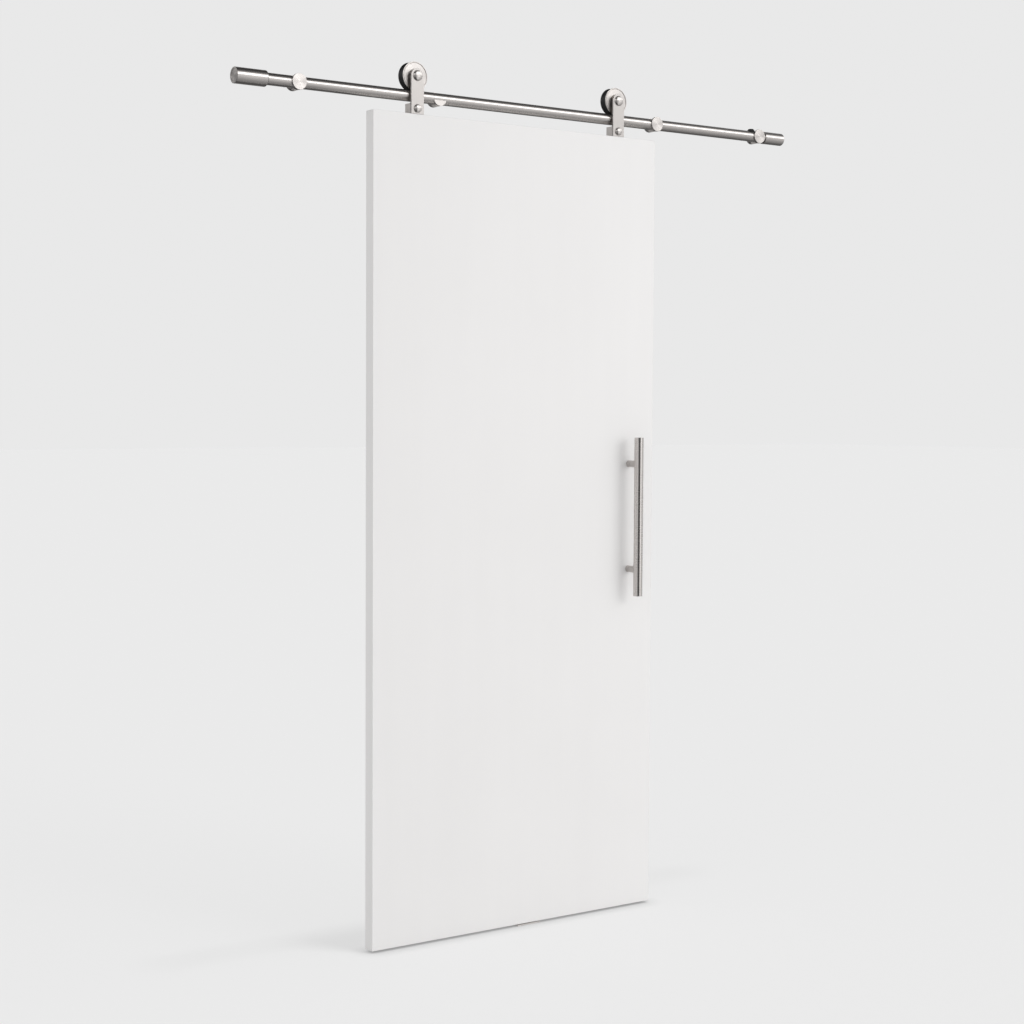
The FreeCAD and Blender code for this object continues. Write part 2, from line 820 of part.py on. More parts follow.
def check():
    """Stops if any object failed to compute or any piece has no valid shape."""
    for item in DOC.Objects:
        if {"Invalid", "Error"} & set(item.State):
            raise RuntimeError(f"{item.Name} failed: {item.State}")
    for body in PIECES:
        if body.Shape.isNull() or not body.Shape.isValid() or not body.Shape.Solids:
            raise RuntimeError(f"{body.Label} has no valid solid")


def write():
    os.makedirs("parts", exist_ok=True)
    for body in PIECES:
        body.Shape.exportStep(f"parts/{body.Label}.step")
        print(f"{body.Label}: {len(body.Shape.Solids)} solid(s), {body.Shape.Volume:.0f} mm3")


build()
check()
write()
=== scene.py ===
"""Looks of a round-rail sliding barn door set: brushed steel rail, hangers, wheels and pull, and a painted door.

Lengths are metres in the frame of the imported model. Each shape is a surface worked out from two running numbers.
"""

import math

import bmesh
import bpy
import numpy as np
from bpy.props import FloatProperty, FloatVectorProperty, IntProperty, PointerProperty
from bpy.types import Operator, Panel, PropertyGroup
from mathutils import Matrix, Vector


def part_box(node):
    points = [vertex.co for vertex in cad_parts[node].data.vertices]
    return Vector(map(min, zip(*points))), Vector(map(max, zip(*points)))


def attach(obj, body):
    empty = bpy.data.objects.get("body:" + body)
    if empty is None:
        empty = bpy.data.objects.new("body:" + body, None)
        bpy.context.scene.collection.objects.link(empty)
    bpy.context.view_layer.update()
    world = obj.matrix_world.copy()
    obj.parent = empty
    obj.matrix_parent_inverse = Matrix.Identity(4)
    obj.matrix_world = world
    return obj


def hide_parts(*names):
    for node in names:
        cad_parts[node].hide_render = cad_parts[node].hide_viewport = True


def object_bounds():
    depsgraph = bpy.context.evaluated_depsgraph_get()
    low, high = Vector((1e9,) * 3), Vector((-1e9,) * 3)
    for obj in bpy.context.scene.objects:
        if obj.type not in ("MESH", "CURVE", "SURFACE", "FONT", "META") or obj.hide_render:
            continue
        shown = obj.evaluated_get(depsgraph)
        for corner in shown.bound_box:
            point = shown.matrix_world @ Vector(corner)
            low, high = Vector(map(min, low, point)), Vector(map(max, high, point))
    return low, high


bl_info = {
    "name": "Sliding Barn Door Looks",
    "version": (1, 0, 0),
    "blender": (4, 5, 0),
    "location": "View3D > Sidebar > Barn Door",
    "description": "Builds the visible steel, nylon, rubber and paint of a sliding door on a round rail",
    "category": "Object",
}

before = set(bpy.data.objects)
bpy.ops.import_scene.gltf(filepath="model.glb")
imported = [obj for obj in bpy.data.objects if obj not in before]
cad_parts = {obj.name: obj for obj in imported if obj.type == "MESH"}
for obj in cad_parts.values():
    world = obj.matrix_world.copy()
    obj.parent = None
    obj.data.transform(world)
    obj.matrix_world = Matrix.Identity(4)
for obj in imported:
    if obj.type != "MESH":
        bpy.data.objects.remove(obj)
CAD_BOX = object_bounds()
MM = 0.001
SIDES = ("left", "right")
GRAIN = "grain"
WELD, SLIVER = 2e-6, 1e-7  # lengths below which vertices are joined and edges dropped


# ---------------------------------------------------------------- places from the frame


def low_high(node):
    """A node's lowest and highest corners, as arrays."""
    low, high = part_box(node)
    return np.array(low), np.array(high)


def middle(node):
    low, high = low_high(node)
    return (low + high) / 2


def extent(node):
    low, high = low_high(node)
    return high - low


RAIL_AXIS = middle("rail_tube_left")
RAIL_LINE = (0, RAIL_AXIS[1], RAIL_AXIS[2])
TUBE_RADIUS = extent("rail_tube_left")[2] / 2
SLIP = 0.05 * MM  # play between two pieces that fit together
SEAT_RADIUS = TUBE_RADIUS + SLIP  # of whatever sits on the tube
SADDLE_DEPTH = 12.6 * MM  # how far from the rail's axis a cap ends, and a post begins above it
WALL_BOLT_RADIUS = 4 * MM
BOLT_RADIUS = {"axle": 6 * MM, "clamp": 4 * MM}
HOLE_RADIUS = {"axle": 6.05 * MM, "clamp": 4.05 * MM}


# ---------------------------------------------------------------- sizes and colours


def length_prop(name, default, description, least=0):
    """A length, with its default in millimetres."""
    return FloatProperty(name=name, description=description, default=default * MM, min=least * MM, unit="LENGTH")


def colour_prop(name, default, description):
    return FloatVectorProperty(
        name=name, description=description, default=default, size=3, min=0, max=1, subtype="COLOR"
    )


def factor_prop(name, default, description):
    return FloatProperty(name=name, description=description, default=default, min=0, max=1, subtype="FACTOR")


def level_prop(name, default, description, soft_max=2):
    return FloatProperty(name=name, description=description, default=default, min=0, soft_max=soft_max)


class RailLook(PropertyGroup):
    ring_steps: IntProperty(
        name="Steps round a tube", description="Faces round each tube and sleeve", default=96, min=24, max=256
    )
    seam_chamfer: length_prop("Seam chamfer", 0.45, "Edge break of each tube where two lengths meet")
    sleeve_rounding: length_prop("Sleeve rounding", 1.1, "Rounding of the sleeves' outer edges")
    cap_rounding: length_prop("Cap rounding", 1.0, "Rounding of the front edge of each standoff cap")
    cradle_lip: length_prop("Cradle lip", 5, "How far below the rail's axis the front of each wall post stops")
    thread_pitch: length_prop("Wood thread pitch", 3.4, "Distance between turns of the wall screws' threads", 0.5)
    thread_depth: length_prop("Wood thread depth", 1.0, "Height of the wall screws' threads")


class HangerLook(PropertyGroup):
    plate_rounding: length_prop("Plate rounding", 0.6, "Rounding of the straps' and blocks' edges")
    dome_collar: length_prop("Dome collar", 0.9, "Height of the straight edge below each bolt's dome")
    rim_groove: length_prop("Rim groove", 0.8, "Depth of the turned line inside each wheel's front rim")
    rim_width: length_prop("Rim width", 2.2, "Width of the raised rim of each wheel's front disc")
    core_rounding: length_prop("Core rounding", 1.2, "Rounding of the nylon wheel's flange edges")


class PullLook(PropertyGroup):
    bar_rounding: length_prop("Bar rounding", 0.5, "Rounding of the bar's end edges")
    cap_recess: length_prop("End disc line", 0.25, "Depth of the fine line round each end disc of the bar")


class FinishLook(PropertyGroup):
    steel: colour_prop("Satin steel", (0.60, 0.57, 0.55), "Colour of the brushed stainless steel")
    zinc: colour_prop("Zinc", (0.58, 0.59, 0.60), "Colour of plated screws and bolts")
    bearing: colour_prop("Bearing steel", (0.72, 0.72, 0.73), "Colour of the ground bearing steel")
    nylon: colour_prop("Nylon", (0.011, 0.011, 0.012), "Colour of the black nylon")
    rubber: colour_prop("Rubber", (0.016, 0.016, 0.016), "Colour of the black rubber")
    paint: colour_prop("Door paint", (0.835, 0.825, 0.82), "Colour of the door's satin paint")
    steel_roughness: factor_prop("Steel roughness", 0.30, "Roughness of the brushed steel")
    steel_anisotropy: factor_prop("Steel anisotropy", 0.85, "How far a highlight is drawn out across the brushing")


class StageLook(PropertyGroup):
    backdrop: level_prop("Backdrop level", 0.814, "Brightness of the plain backdrop")
    fill: level_prop("Fill level", 0.65, "Even soft light from all round on paint and rubber")
    studio: level_prop("Studio level", 1.0, "Brightness of the panels mirrored in the steel", 4)
    floor_tone: factor_prop("Floor tone", 0.30, "How much light the floor scatters")
    overhead: level_prop("Overhead strength", 0.9, "Light above that draws the door's short shadow on the floor", 5)
    key_power: FloatProperty(
        name="Key power", description="Power of the soft key light", default=25.0, min=0, unit="POWER"
    )
    key_distance: FloatProperty(
        name="Key distance", description="Key light's distance from the door's middle", default=3.6, unit="LENGTH"
    )
    key_size: FloatProperty(name="Key size", description="Width of the round key light", default=2.4, unit="LENGTH")
    key_turn: FloatProperty(
        name="Key turn",
        description="Key light's angle to the right of the door's normal",
        default=math.radians(36),
        subtype="ANGLE",
    )
    key_rise: FloatProperty(
        name="Key rise", description="Key light's angle above level", default=math.radians(11), subtype="ANGLE"
    )


# ---------------------------------------------------------------- surfaces


def softened(corners, reach, steps=4):
    """A line of points with each inner corner rounded.

    At a corner the curve is (1-s)^2 start + 2 s (1-s) corner + s^2 end, where start and end lie a set reach along
    the two sides. A point just outside each end of the curve keeps the flats beside it flat.
    """
    points = np.asarray(corners, float)
    reach = np.broadcast_to(np.asarray(reach, float), (len(points),))[:, None]

    def towards(others, share):
        gap = others - points
        length = np.maximum(np.linalg.norm(gap, axis=1, keepdims=True), 1e-9)
        return points + gap * np.minimum(reach * share, length * 0.45 * share) / length

    before, after = np.roll(points, 1, 0), np.roll(points, -1, 0)
    start, end = towards(before, 1.0), towards(after, 1.0)
    s = np.linspace(0, 1, steps + 1)[None, :, None]
    curve = (1 - s) ** 2 * start[:, None] + 2 * s * (1 - s) * points[:, None] + s**2 * end[:, None]
    held = np.concatenate([towards(before, 1.1)[:, None], curve, towards(after, 1.1)[:, None]], 1)
    held[0], held[-1] = points[0], points[-1]
    return held.reshape(-1, 2)


def chord(radius, offset):
    """Half the width of a circle at an offset from its middle: the root of R^2 - offset^2."""
    return np.sqrt(np.maximum(radius**2 - offset**2, 0))


def laid(axis, centre, along, across, up):
    """Places points given along an axis and on the two directions square to it."""
    order = {"X": (along, across, up), "Y": (across, along, up), "Z": (across, up, along)}[axis]
    return np.stack(np.broadcast_arrays(*order), -1) + np.asarray(centre)


def turned(axis, centre, profile, steps=96, angles=None, grain="round"):
    """A profile of (along, radius) points turned about an axis: the point at angle b is radius times (sin b, -cos b).

    The grain runs round the axis, or along it.
    """
    b = np.linspace(-math.pi, math.pi, steps + 1) if angles is None else np.asarray(angles)
    along, radius = np.asarray(profile, float)[:, :1], np.asarray(profile, float)[:, 1:]
    points = laid(axis, centre, along, radius * np.sin(b), -radius * np.cos(b))
    run = np.concatenate([[0], np.cumsum(np.linalg.norm(np.diff(profile, axis=0), axis=1))])[:, None]
    widest = float(radius.max())
    around, down = np.broadcast_arrays(b * widest, run)
    return points, np.stack((around, down) if grain == "round" else (down, around), -1)


def as_grid(x, y, z, u, v):
    """One patch from whole arrays of coordinates and of the two grain coordinates."""
    points = np.stack(np.broadcast_arrays(x, y, z), -1)
    return points, np.stack(np.broadcast_arrays(u, v, points[..., 0])[:2], -1)


def patch_faces(rows, columns, first):
    """Each cell of a grid of vertices as a quad, counted from a first vertex."""
    corner = first + (np.arange(rows - 1)[:, None] * columns + np.arange(columns - 1)[None]).ravel()
    return np.stack([corner, corner + 1, corner + columns + 1, corner + columns], 1)


def model(name, patches, coat, body, stands_for, sharp=32.0):
    """Welds patches into one closed mesh with its grain as a UV map and a finish, and rides it on a body."""
    points = np.concatenate([p.reshape(-1, 3) for p, _ in patches])
    grain = np.concatenate([uv.reshape(-1, 2) for _, uv in patches])
    sizes = [p.shape[0] * p.shape[1] for p, _ in patches]
    starts = np.concatenate([[0], np.cumsum(sizes)[:-1]])
    faces = np.concatenate([patch_faces(*p.shape[:2], s) for (p, _), s in zip(patches, starts)])
    mesh = bpy.data.meshes.new(name)
    mesh.from_pydata(points.tolist(), [], faces.tolist())
    layer = mesh.uv_layers.new(name=GRAIN)
    layer.data.foreach_set("uv", grain[faces.ravel()].astype(np.float32).ravel())
    solid = bmesh.new()
    solid.from_mesh(mesh)
    bmesh.ops.remove_doubles(solid, verts=solid.verts, dist=WELD)
    bmesh.ops.dissolve_degenerate(solid, edges=solid.edges, dist=SLIVER)
    bmesh.ops.recalc_face_normals(solid, faces=solid.faces)
    solid.to_mesh(mesh)
    solid.free()
    mesh.polygons.foreach_set("use_smooth", np.ones(len(mesh.polygons), bool))
    mesh.set_sharp_from_angle(angle=math.radians(sharp))
    mesh.materials.append(finish(coat))
    piece = bpy.data.objects.new(name, mesh)
    bpy.context.scene.collection.objects.link(piece)
    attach(piece, body)
    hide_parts(*stands_for)


# ---------------------------------------------------------------- finishes


def socket_name(word):
    """A socket's name as the program writes it, from a keyword."""
    return word.replace("_", " ").title().replace("Ior", "IOR")


class Tree:
    """A node tree with short ways to add to it."""

    def __init__(self, tree):
        self.tree = tree

    def add(self, kind, **inputs):
        node = self.tree.nodes.new(f"ShaderNode{kind}")
        for name, given in inputs.items():
            self.feed(node, socket_name(name), given)
        return node

    def feed(self, node, name, given):
        socket = node.inputs[name]
        if isinstance(given, bpy.types.NodeSocket):
            self.tree.links.new(given, socket)
        else:
            socket.default_value = given

    def math(self, operation, first, second):
        node = self.add("Math")
        node.operation = operation
        self.feed(node, 0, first)
        self.feed(node, 1, second)
        return node.outputs["Value"]


class Nodes(Tree):
    """A new material's node tree and its principled shader."""

    def __init__(self, name):
        self.material = bpy.data.materials.new(name)
        self.material.use_nodes = True
        super().__init__(self.material.node_tree)
        self.shader = self.tree.nodes["Principled BSDF"]

    def set(self, **inputs):
        for name, given in inputs.items():
            self.feed(self.shader, socket_name(name), given)

    def place(self, scale):
        """Object coordinates, stretched."""
        coordinates = self.add("TexCoord").outputs["Object"]
        return self.add("Mapping", vector=coordinates, scale=scale).outputs["Vector"]

    def grain(self, scale):
        """The piece's own grain map, stretched."""
        source = self.add("UVMap")
        source.uv_map = GRAIN
        return self.add("Mapping", vector=source.outputs["UV"], scale=scale).outputs["Vector"]

    def noise(self, vector, scale=1.0, detail=4.0, roughness=0.55):
        node = self.add("TexNoise", vector=vector, scale=scale, detail=detail, roughness=roughness)
        return node.outputs["Fac"]

    def cloud(self, scale, detail):
        """Noise on the object's own coordinates."""
        return self.noise(self.place((1, 1, 1)), scale=scale, detail=detail)

    def spread(self, source, to_low, to_high, low=0.3, high=0.7):
        """Carries a range of values over to another. Noise falls mostly between 0.3 and 0.7."""
        node = self.add("MapRange", value=source, from_min=low, from_max=high, to_min=to_low, to_max=to_high)
        return node.outputs["Result"]

    def sum(self, first, second):
        return self.math("ADD", first, second)

    def shades(self, share, colour, darkest, palest):
        """A colour between two tones of one colour, by a share."""
        node = self.add("Mix", factor=share)
        node.data_type = "RGBA"
        for socket, factor in zip([s for s in node.inputs if s.type == "RGBA"][:2], (darkest, palest)):
            socket.default_value = (*(min(1.0, c * factor) for c in colour), 1)
        return next(s for s in node.outputs if s.type == "RGBA")

    def bump(self, height, strength, distance):
        return self.add("Bump", height=height, strength=strength, distance=distance).outputs["Normal"]


def satin_steel(name, long_scale, cross_scale, roughness_shift=0.0):
    """Brushed stainless steel. Fine streaks of noise, long on one grain coordinate and narrow on the other, change
    its colour, its roughness and the height of its surface, and its highlights are drawn out across them."""
    look = bpy.context.scene.barn_finish
    nodes = Nodes(name)
    wide = nodes.noise(nodes.grain((long_scale, cross_scale, 1)), detail=3)
    fine = nodes.noise(nodes.grain((long_scale * 4, cross_scale * 6, 1)), detail=6, roughness=0.7)
    cloud = nodes.cloud(16, 2)
    both = nodes.sum(nodes.spread(wide, 0, 0.55), nodes.spread(fine, 0, 0.45))
    base = look.steel_roughness + roughness_shift
    rough = nodes.sum(nodes.spread(both, base - 0.03, base + 0.03, 0, 1), nodes.spread(cloud, -0.02, 0.02))
    tangent = nodes.add("Tangent")
    tangent.direction_type = "UV_MAP"
    tangent.uv_map = GRAIN
    nodes.set(
        base_color=nodes.shades(both, look.steel, 0.93, 1.07),
        metallic=1.0,
        roughness=rough,
        anisotropic=look.steel_anisotropy,
        anisotropic_rotation=0.25,
        tangent=tangent.outputs["Tangent"],
        normal=nodes.bump(fine, 0.05, 0.0001),
    )
    return nodes.material


def blasted_steel():
    """Bead-blasted metal: fine dimples that scatter light, with slow changes of tone and no grain."""
    look = bpy.context.scene.barn_finish
    nodes = Nodes("blasted steel")
    dimples = nodes.cloud(1500, 3)
    cloud = nodes.cloud(60, 3)
    nodes.set(
        base_color=nodes.shades(cloud, look.steel, 1.05, 1.25),
        metallic=0.4,
        roughness=nodes.spread(dimples, 0.55, 0.65),
        normal=nodes.bump(dimples, 0.15, 0.0001),
    )
    return nodes.material


def zinc_plate():
    """Zinc plate: small irregular grains on object coordinates change its colour and roughness."""
    look = bpy.context.scene.barn_finish
    nodes = Nodes("zinc plate")
    grains = nodes.add("TexVoronoi", vector=nodes.place((1, 1, 1)), scale=900.0).outputs["Distance"]
    cloud = nodes.cloud(220, 4)
    nodes.set(
        base_color=nodes.shades(cloud, look.zinc, 0.85, 1.12),
        metallic=1.0,
        roughness=nodes.spread(grains, 0.30, 0.46, 0, 0.7),
        normal=nodes.bump(cloud, 0.10, 0.0001),
    )
    return nodes.material


def bearing_steel():
    """Ground steel with faint round grinding lines and a light film of oil."""
    look = bpy.context.scene.barn_finish
    nodes = Nodes("bearing steel")
    lines = nodes.noise(nodes.place((60, 4000, 60)), detail=2)
    nodes.set(
        base_color=nodes.shades(lines, look.bearing, 0.92, 1.06),
        metallic=1.0,
        roughness=nodes.spread(lines, 0.12, 0.24),
        coat_weight=0.2,
        coat_roughness=0.1,
    )
    return nodes.material


def black_nylon():
    """Moulded nylon: a fine spark-eroded texture with slow changes of gloss."""
    look = bpy.context.scene.barn_finish
    nodes = Nodes("black nylon")
    fine = nodes.cloud(2600, 3)
    cloud = nodes.cloud(90, 3)
    nodes.set(
        base_color=nodes.shades(cloud, look.nylon, 0.8, 1.5),
        roughness=nodes.spread(cloud, 0.42, 0.55),
        specular_ior_level=0.4,
        normal=nodes.bump(fine, 0.25, 0.0001),
    )
    return nodes.material


def black_rubber():
    """Soft rubber: matt, with a fine grain and a faint bloom."""
    look = bpy.context.scene.barn_finish
    nodes = Nodes("black rubber")
    fine = nodes.cloud(1800, 5)
    bloom = nodes.cloud(120, 3)
    nodes.set(
        base_color=nodes.shades(bloom, look.rubber, 0.8, 2.0),
        roughness=nodes.spread(fine, 0.72, 0.88),
        specular_ior_level=0.3,
        normal=nodes.bump(fine, 0.35, 0.0001),
    )
    return nodes.material


def door_paint():
    """Sprayed and rolled satin paint: a soft orange peel, faint upright roller bands and slow tone changes."""
    look = bpy.context.scene.barn_finish
    nodes = Nodes("door paint")
    peel = nodes.cloud(420, 3)
    bands = nodes.noise(nodes.place((14, 14, 0.7)), detail=3)
    cloud = nodes.cloud(2.2, 3)
    tone = nodes.sum(nodes.spread(bands, 0, 0.4), nodes.spread(cloud, 0, 0.6))
    height = nodes.sum(peel, nodes.spread(bands, 0, 0.6))
    nodes.set(
        base_color=nodes.shades(tone, look.paint, 0.985, 1.012),
        roughness=nodes.spread(peel, 0.40, 0.50),
        specular_ior_level=0.2,
        normal=nodes.bump(height, 0.08, 0.0002),
    )
    return nodes.material


FINISHES = {
    "tube steel": lambda: satin_steel("tube steel", 12, 520, -0.02),
    "turned steel": lambda: satin_steel("turned steel", 0.0, 900, 0.0),
    "plate steel": lambda: satin_steel("plate steel", 14, 420, 0.02),
    "blasted steel": blasted_steel,
    "zinc plate": zinc_plate,
    "bearing steel": bearing_steel,
    "black nylon": black_nylon,
    "black rubber": black_rubber,
    "door paint": door_paint,
}


def finish(name):
    """A finish by name, made the first time it is asked for."""
    return bpy.data.materials.get(name) or FINISHES[name]()


def carry_over(name, *nodes):
    """Gives CAD nodes that keep their own mesh a finish."""
    for node in nodes:
        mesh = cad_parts[node].data
        mesh.materials.clear()
        mesh.materials.append(finish(name))


# ---------------------------------------------------------------- rail


class BARN_OT_rail_tubes(Operator):
    """Makes the two lengths of rail: tubes turned about the rail's axis, with a small chamfer at each end"""

    bl_idname = "barn_door.rail_tubes"
    bl_label = "Rail Tubes"

    def execute(self, context):
        look = context.scene.barn_rail
        wall = 2 * MM
        for side in SIDES:
            low, high = low_high(f"rail_tube_{side}")
            start, end = low[0], high[0]
            bore = TUBE_RADIUS - wall
            corners = [
                (start + wall, bore),
                (start, bore),
                (start, TUBE_RADIUS),
                (end, TUBE_RADIUS),
                (end, bore),
                (start + wall, bore),
            ]
            profile = softened(corners, look.seam_chamfer, 3)
            patch = turned("X", RAIL_LINE, profile, look.ring_steps)
            model(f"tube_{side}", [patch], "tube steel", "rail", [f"rail_tube_{side}"])
        carry_over("zinc plate", "splice_screws")
        carry_over("bearing steel", "splice_spigot")
        return {"FINISHED"}


class BARN_OT_end_sleeves(Operator):
    """Makes the sleeves over the rail's ends, their end discs and the rubber ring, all turned about the rail"""

    bl_idname = "barn_door.end_sleeves"
    bl_label = "End Sleeves"

    def execute(self, context):
        look = context.scene.barn_rail
        for side, outward in (("left", -1), ("right", 1)):
            low, high = low_high(f"end_sleeve_{side}")
            radius = (high[2] - low[2]) / 2
            bore = SEAT_RADIUS
            end, mouth = (low[0], high[0]) if outward < 0 else (high[0], low[0])
            middle_of_bore = (end + mouth) / 2
            corners = [(middle_of_bore, bore), (end, bore), (end, radius), (mouth, radius), (mouth, bore)]
            corners.append((middle_of_bore, bore))
            rounding = np.array([0, 0.3 * MM, look.sleeve_rounding, 0.6 * MM, 0.3 * MM, 0])
            if side == "right":
                rounding[2] = look.sleeve_rounding * 2
            patch = turned("X", RAIL_LINE, softened(corners, rounding, 5), look.ring_steps)
            model(f"sleeve_{side}", [patch], "tube steel", "rail", [f"end_sleeve_{side}"])
            plug_low, plug_high = low_high(f"end_plug_{side}")
            face, back = (plug_low[0], plug_high[0]) if outward < 0 else (plug_high[0], plug_low[0])
            rim = (plug_high[2] - plug_low[2]) / 2
            disc = softened([(face, 0), (face, rim), (back, rim), (back, 0)], [0, 0.5 * MM, 0.3 * MM, 0], 4)
            patch = turned("X", RAIL_LINE, disc, look.ring_steps)
            model(f"end_disc_{side}", [patch], "turned steel", "rail", [f"end_plug_{side}"])
        low, high = low_high("bumper_ring")
        radius, bore = (high[2] - low[2]) / 2, SEAT_RADIUS
        corners = [(low[0], bore), (low[0], radius), (high[0], radius), (high[0], bore), (low[0], bore)]
        ring = softened(corners, [0, 0.3 * MM, 1.0 * MM, 0.4 * MM, 0], 5)
        patch = turned("X", RAIL_LINE, ring, look.ring_steps)
        model("stop_ring", [patch], "black rubber", "rail", ["bumper_ring"])
        carry_over("zinc plate", "sleeve_screws_left", "sleeve_screws_right")
        return {"FINISHED"}


class BARN_OT_stop_button(Operator):
    """Makes the rubber stop on the rail's top: a rounded button whose underside follows the tube"""

    bl_idname = "barn_door.stop_button"
    bl_label = "Stop Button"

    def execute(self, context):
        low, high = low_high("stop_button")
        place = (low[0] + high[0]) / 2
        radius, top = (high[0] - low[0]) / 2, high[2] - RAIL_AXIS[2]
        hole, bore, seat = 4.7 * MM, 2.55 * MM, top - 4 * MM
        corners = [(seat, bore), (seat, hole), (top, hole), (top, radius - 4 * MM), (top - 5 * MM, radius)]
        corners.append((top - 6.5 * MM, radius))
        head = softened(corners, [0, 0.3 * MM, 0.4 * MM, 2.4 * MM, 2.4 * MM, 0], 6)
        centre = (place, RAIL_AXIS[1], RAIL_AXIS[2])
        b = np.linspace(-math.pi, math.pi, 73)
        crown = turned("Z", centre, head, angles=b)

        def rows(radii, heights):
            x, y = radii * np.sin(b), -radii * np.cos(b)
            points = np.stack(np.broadcast_arrays(x, y, heights), -1) + np.array(centre)
            uv = np.stack(np.broadcast_arrays(b * radius, radii), -1)
            return points, uv

        share = np.linspace(0, 1, 5)[:, None]
        foot = chord(SEAT_RADIUS, -radius * np.cos(b))[None]
        skirt = rows(np.full((5, 1), radius), (1 - share) * (top - 6.5 * MM) + share * foot)
        under_radii = radius + (bore - radius) * np.linspace(0, 1, 9)[:, None]
        under = rows(under_radii, chord(SEAT_RADIUS, -under_radii * np.cos(b)))
        inner_foot = chord(SEAT_RADIUS, -bore * np.cos(b))[None]
        well = rows(np.full((2, 1), bore), np.array([[0.0], [1.0]]) * (seat - inner_foot) + inner_foot)
        patches = [crown, skirt, under, well]
        model("stop_button_rubber", patches, "black rubber", "rail", ["stop_button"])
        carry_over("zinc plate", "stop_button_screw")
        return {"FINISHED"}


# ---------------------------------------------------------------- standoffs


def fan(count=97, extra=()):
    """Angles all round, with some exact ones among them."""
    both = np.concatenate([np.linspace(-math.pi, math.pi, count), extra, [-a for a in extra]])
    return np.unique(np.round(both, 9))


class BARN_OT_standoffs(Operator):
    """Makes the wall posts and their caps.

    A post is a round bar, x = R sin b and z = -R cos b, run in y from its front or the tube's round to the wall
    """

    bl_idname = "barn_door.standoffs"
    bl_label = "Standoffs"

    def execute(self, context):
        for number in (1, 2, 3, 4):
            self.post(context.scene.barn_rail, number)
        for number in (1, 3, 4):
            self.cap(context.scene.barn_rail, number)
        return {"FINISHED"}

    def post(self, look, number):
        low, high = low_high(f"standoff_{number}")
        radius = (high[0] - low[0]) / 2
        centre = np.array([(low[0] + high[0]) / 2, RAIL_AXIS[1], RAIL_AXIS[2]])
        front, wall = low[1] - RAIL_AXIS[1], high[1] - RAIL_AXIS[1]
        lip = -max(look.cradle_lip, float(chord(SEAT_RADIUS, front)))
        tip = math.acos(-lip / radius)
        turn_back = math.acos(-math.sqrt(SEAT_RADIUS**2 - SADDLE_DEPTH**2) / radius)
        b = fan(97, (tip, math.acos(SEAT_RADIUS / radius), turn_back))
        x, z = radius * np.sin(b), -radius * np.cos(b)
        rear = np.where(z < 0, chord(SEAT_RADIUS, z), np.maximum(chord(SEAT_RADIUS, z), SADDLE_DEPTH))
        leg = np.abs(b) <= tip + 1e-9
        share = np.linspace(0, 1, 2)[:, None]
        side_y = rear[None] * (1 - share) + wall * share
        side = as_grid(x[None], side_y, z[None], wall * share, b[None] * radius)
        patches = [side]
        edge_y = front * (1 - share) - chord(SEAT_RADIUS, z[leg])[None] * share
        patches.append(as_grid(x[leg][None], edge_y, z[leg][None], share * radius, b[leg][None] * radius))
        patches.append(turned("Y", (0, 0, 0), [(wall, 0), (wall, radius)], angles=b))
        half = b >= 0
        across = np.linspace(-1, 1, 2)[:, None]
        rows_z, reach = z[half][None], x[half][None]
        in_leg = leg[half]
        front_z, front_x = rows_z[:, in_leg], reach[:, in_leg]
        for face_y in (front + front_z * 0, -chord(SEAT_RADIUS, front_z)):
            patches.append(as_grid(across * front_x, face_y, front_z, across * front_x, front_z))
        patches.append(as_grid(across * reach, rear[half][None] + rows_z * 0, rows_z, across * reach, rows_z))
        tip_x = radius * math.sin(tip)
        ends = np.array([[front, -float(chord(SEAT_RADIUS, lip))]])
        patches.append(as_grid(across * tip_x, ends, lip + ends * 0, across * tip_x, ends))
        patches = [(p + centre, uv) for p, uv in patches]
        name = f"post_{number}"
        model(name, patches, "turned steel", "rail", [f"standoff_{number}"])

    def cap(self, look, number):
        low, high = low_high(f"standoff_cap_{number}")
        radius = (high[0] - low[0]) / 2
        centre = np.array([(low[0] + high[0]) / 2, RAIL_AXIS[1], RAIL_AXIS[2]])
        front, back = low[1] - RAIL_AXIS[1], -SADDLE_DEPTH
        crease = math.sqrt(SEAT_RADIUS**2 - back**2)
        b = fan(97, (math.acos(crease / radius), math.acos(-crease / radius)))
        x, z = radius * np.sin(b), -radius * np.cos(b)

        def rear(z):
            return np.minimum(back, -chord(SEAT_RADIUS, z))

        side_start = front + look.cap_rounding * 1.4
        corners = [(front, 0), (front, radius * 0.6), (front, radius), (side_start, radius)]
        face = turned("Y", (0, 0, 0), softened(corners, [0, 0, look.cap_rounding, 0], 6), angles=b)
        share = np.linspace(0, 1, 2)[:, None]
        side_y = side_start * (1 - share) + rear(z)[None] * share
        side = as_grid(x[None], side_y, z[None], b[None] * radius, share * MM)
        half = b >= 0
        across = np.linspace(-1, 1, 2)[:, None]
        rows_z, reach = z[half][None], x[half][None]
        behind = as_grid(across * reach, rear(rows_z), rows_z, across * reach, rows_z)
        patches = [(p + centre, uv) for p, uv in (face, side, behind)]
        name = f"cap_{number}"
        model(name, patches, "turned steel", "rail", [f"standoff_cap_{number}"])


def threaded(centre, start, end, radius, pitch, depth, tip):
    """A wood-screw thread along Y. With p half of 1 + cos of the turn past a crest, the radius is below the crest
    by depth (1 - p^3), and over the last stretch it shrinks to a point as the share left to the power 0.8."""
    rows = int((end - start) / pitch * 12) + 1
    y = np.linspace(start, end, rows)[:, None]
    b = np.linspace(-math.pi, math.pi, 33)[None]
    phase = 0.5 + 0.5 * np.cos(2 * math.pi * y / pitch - b)
    lead = np.clip((y - start) / pitch, 0, 1)
    size = (radius - depth * (1 - phase**3) * lead) * np.clip((end - y) / tip, 0, 1) ** 0.8
    points = laid("Y", centre, y, size * np.sin(b), -size * np.cos(b))
    return points, np.stack(np.broadcast_arrays(b * radius, y), -1)


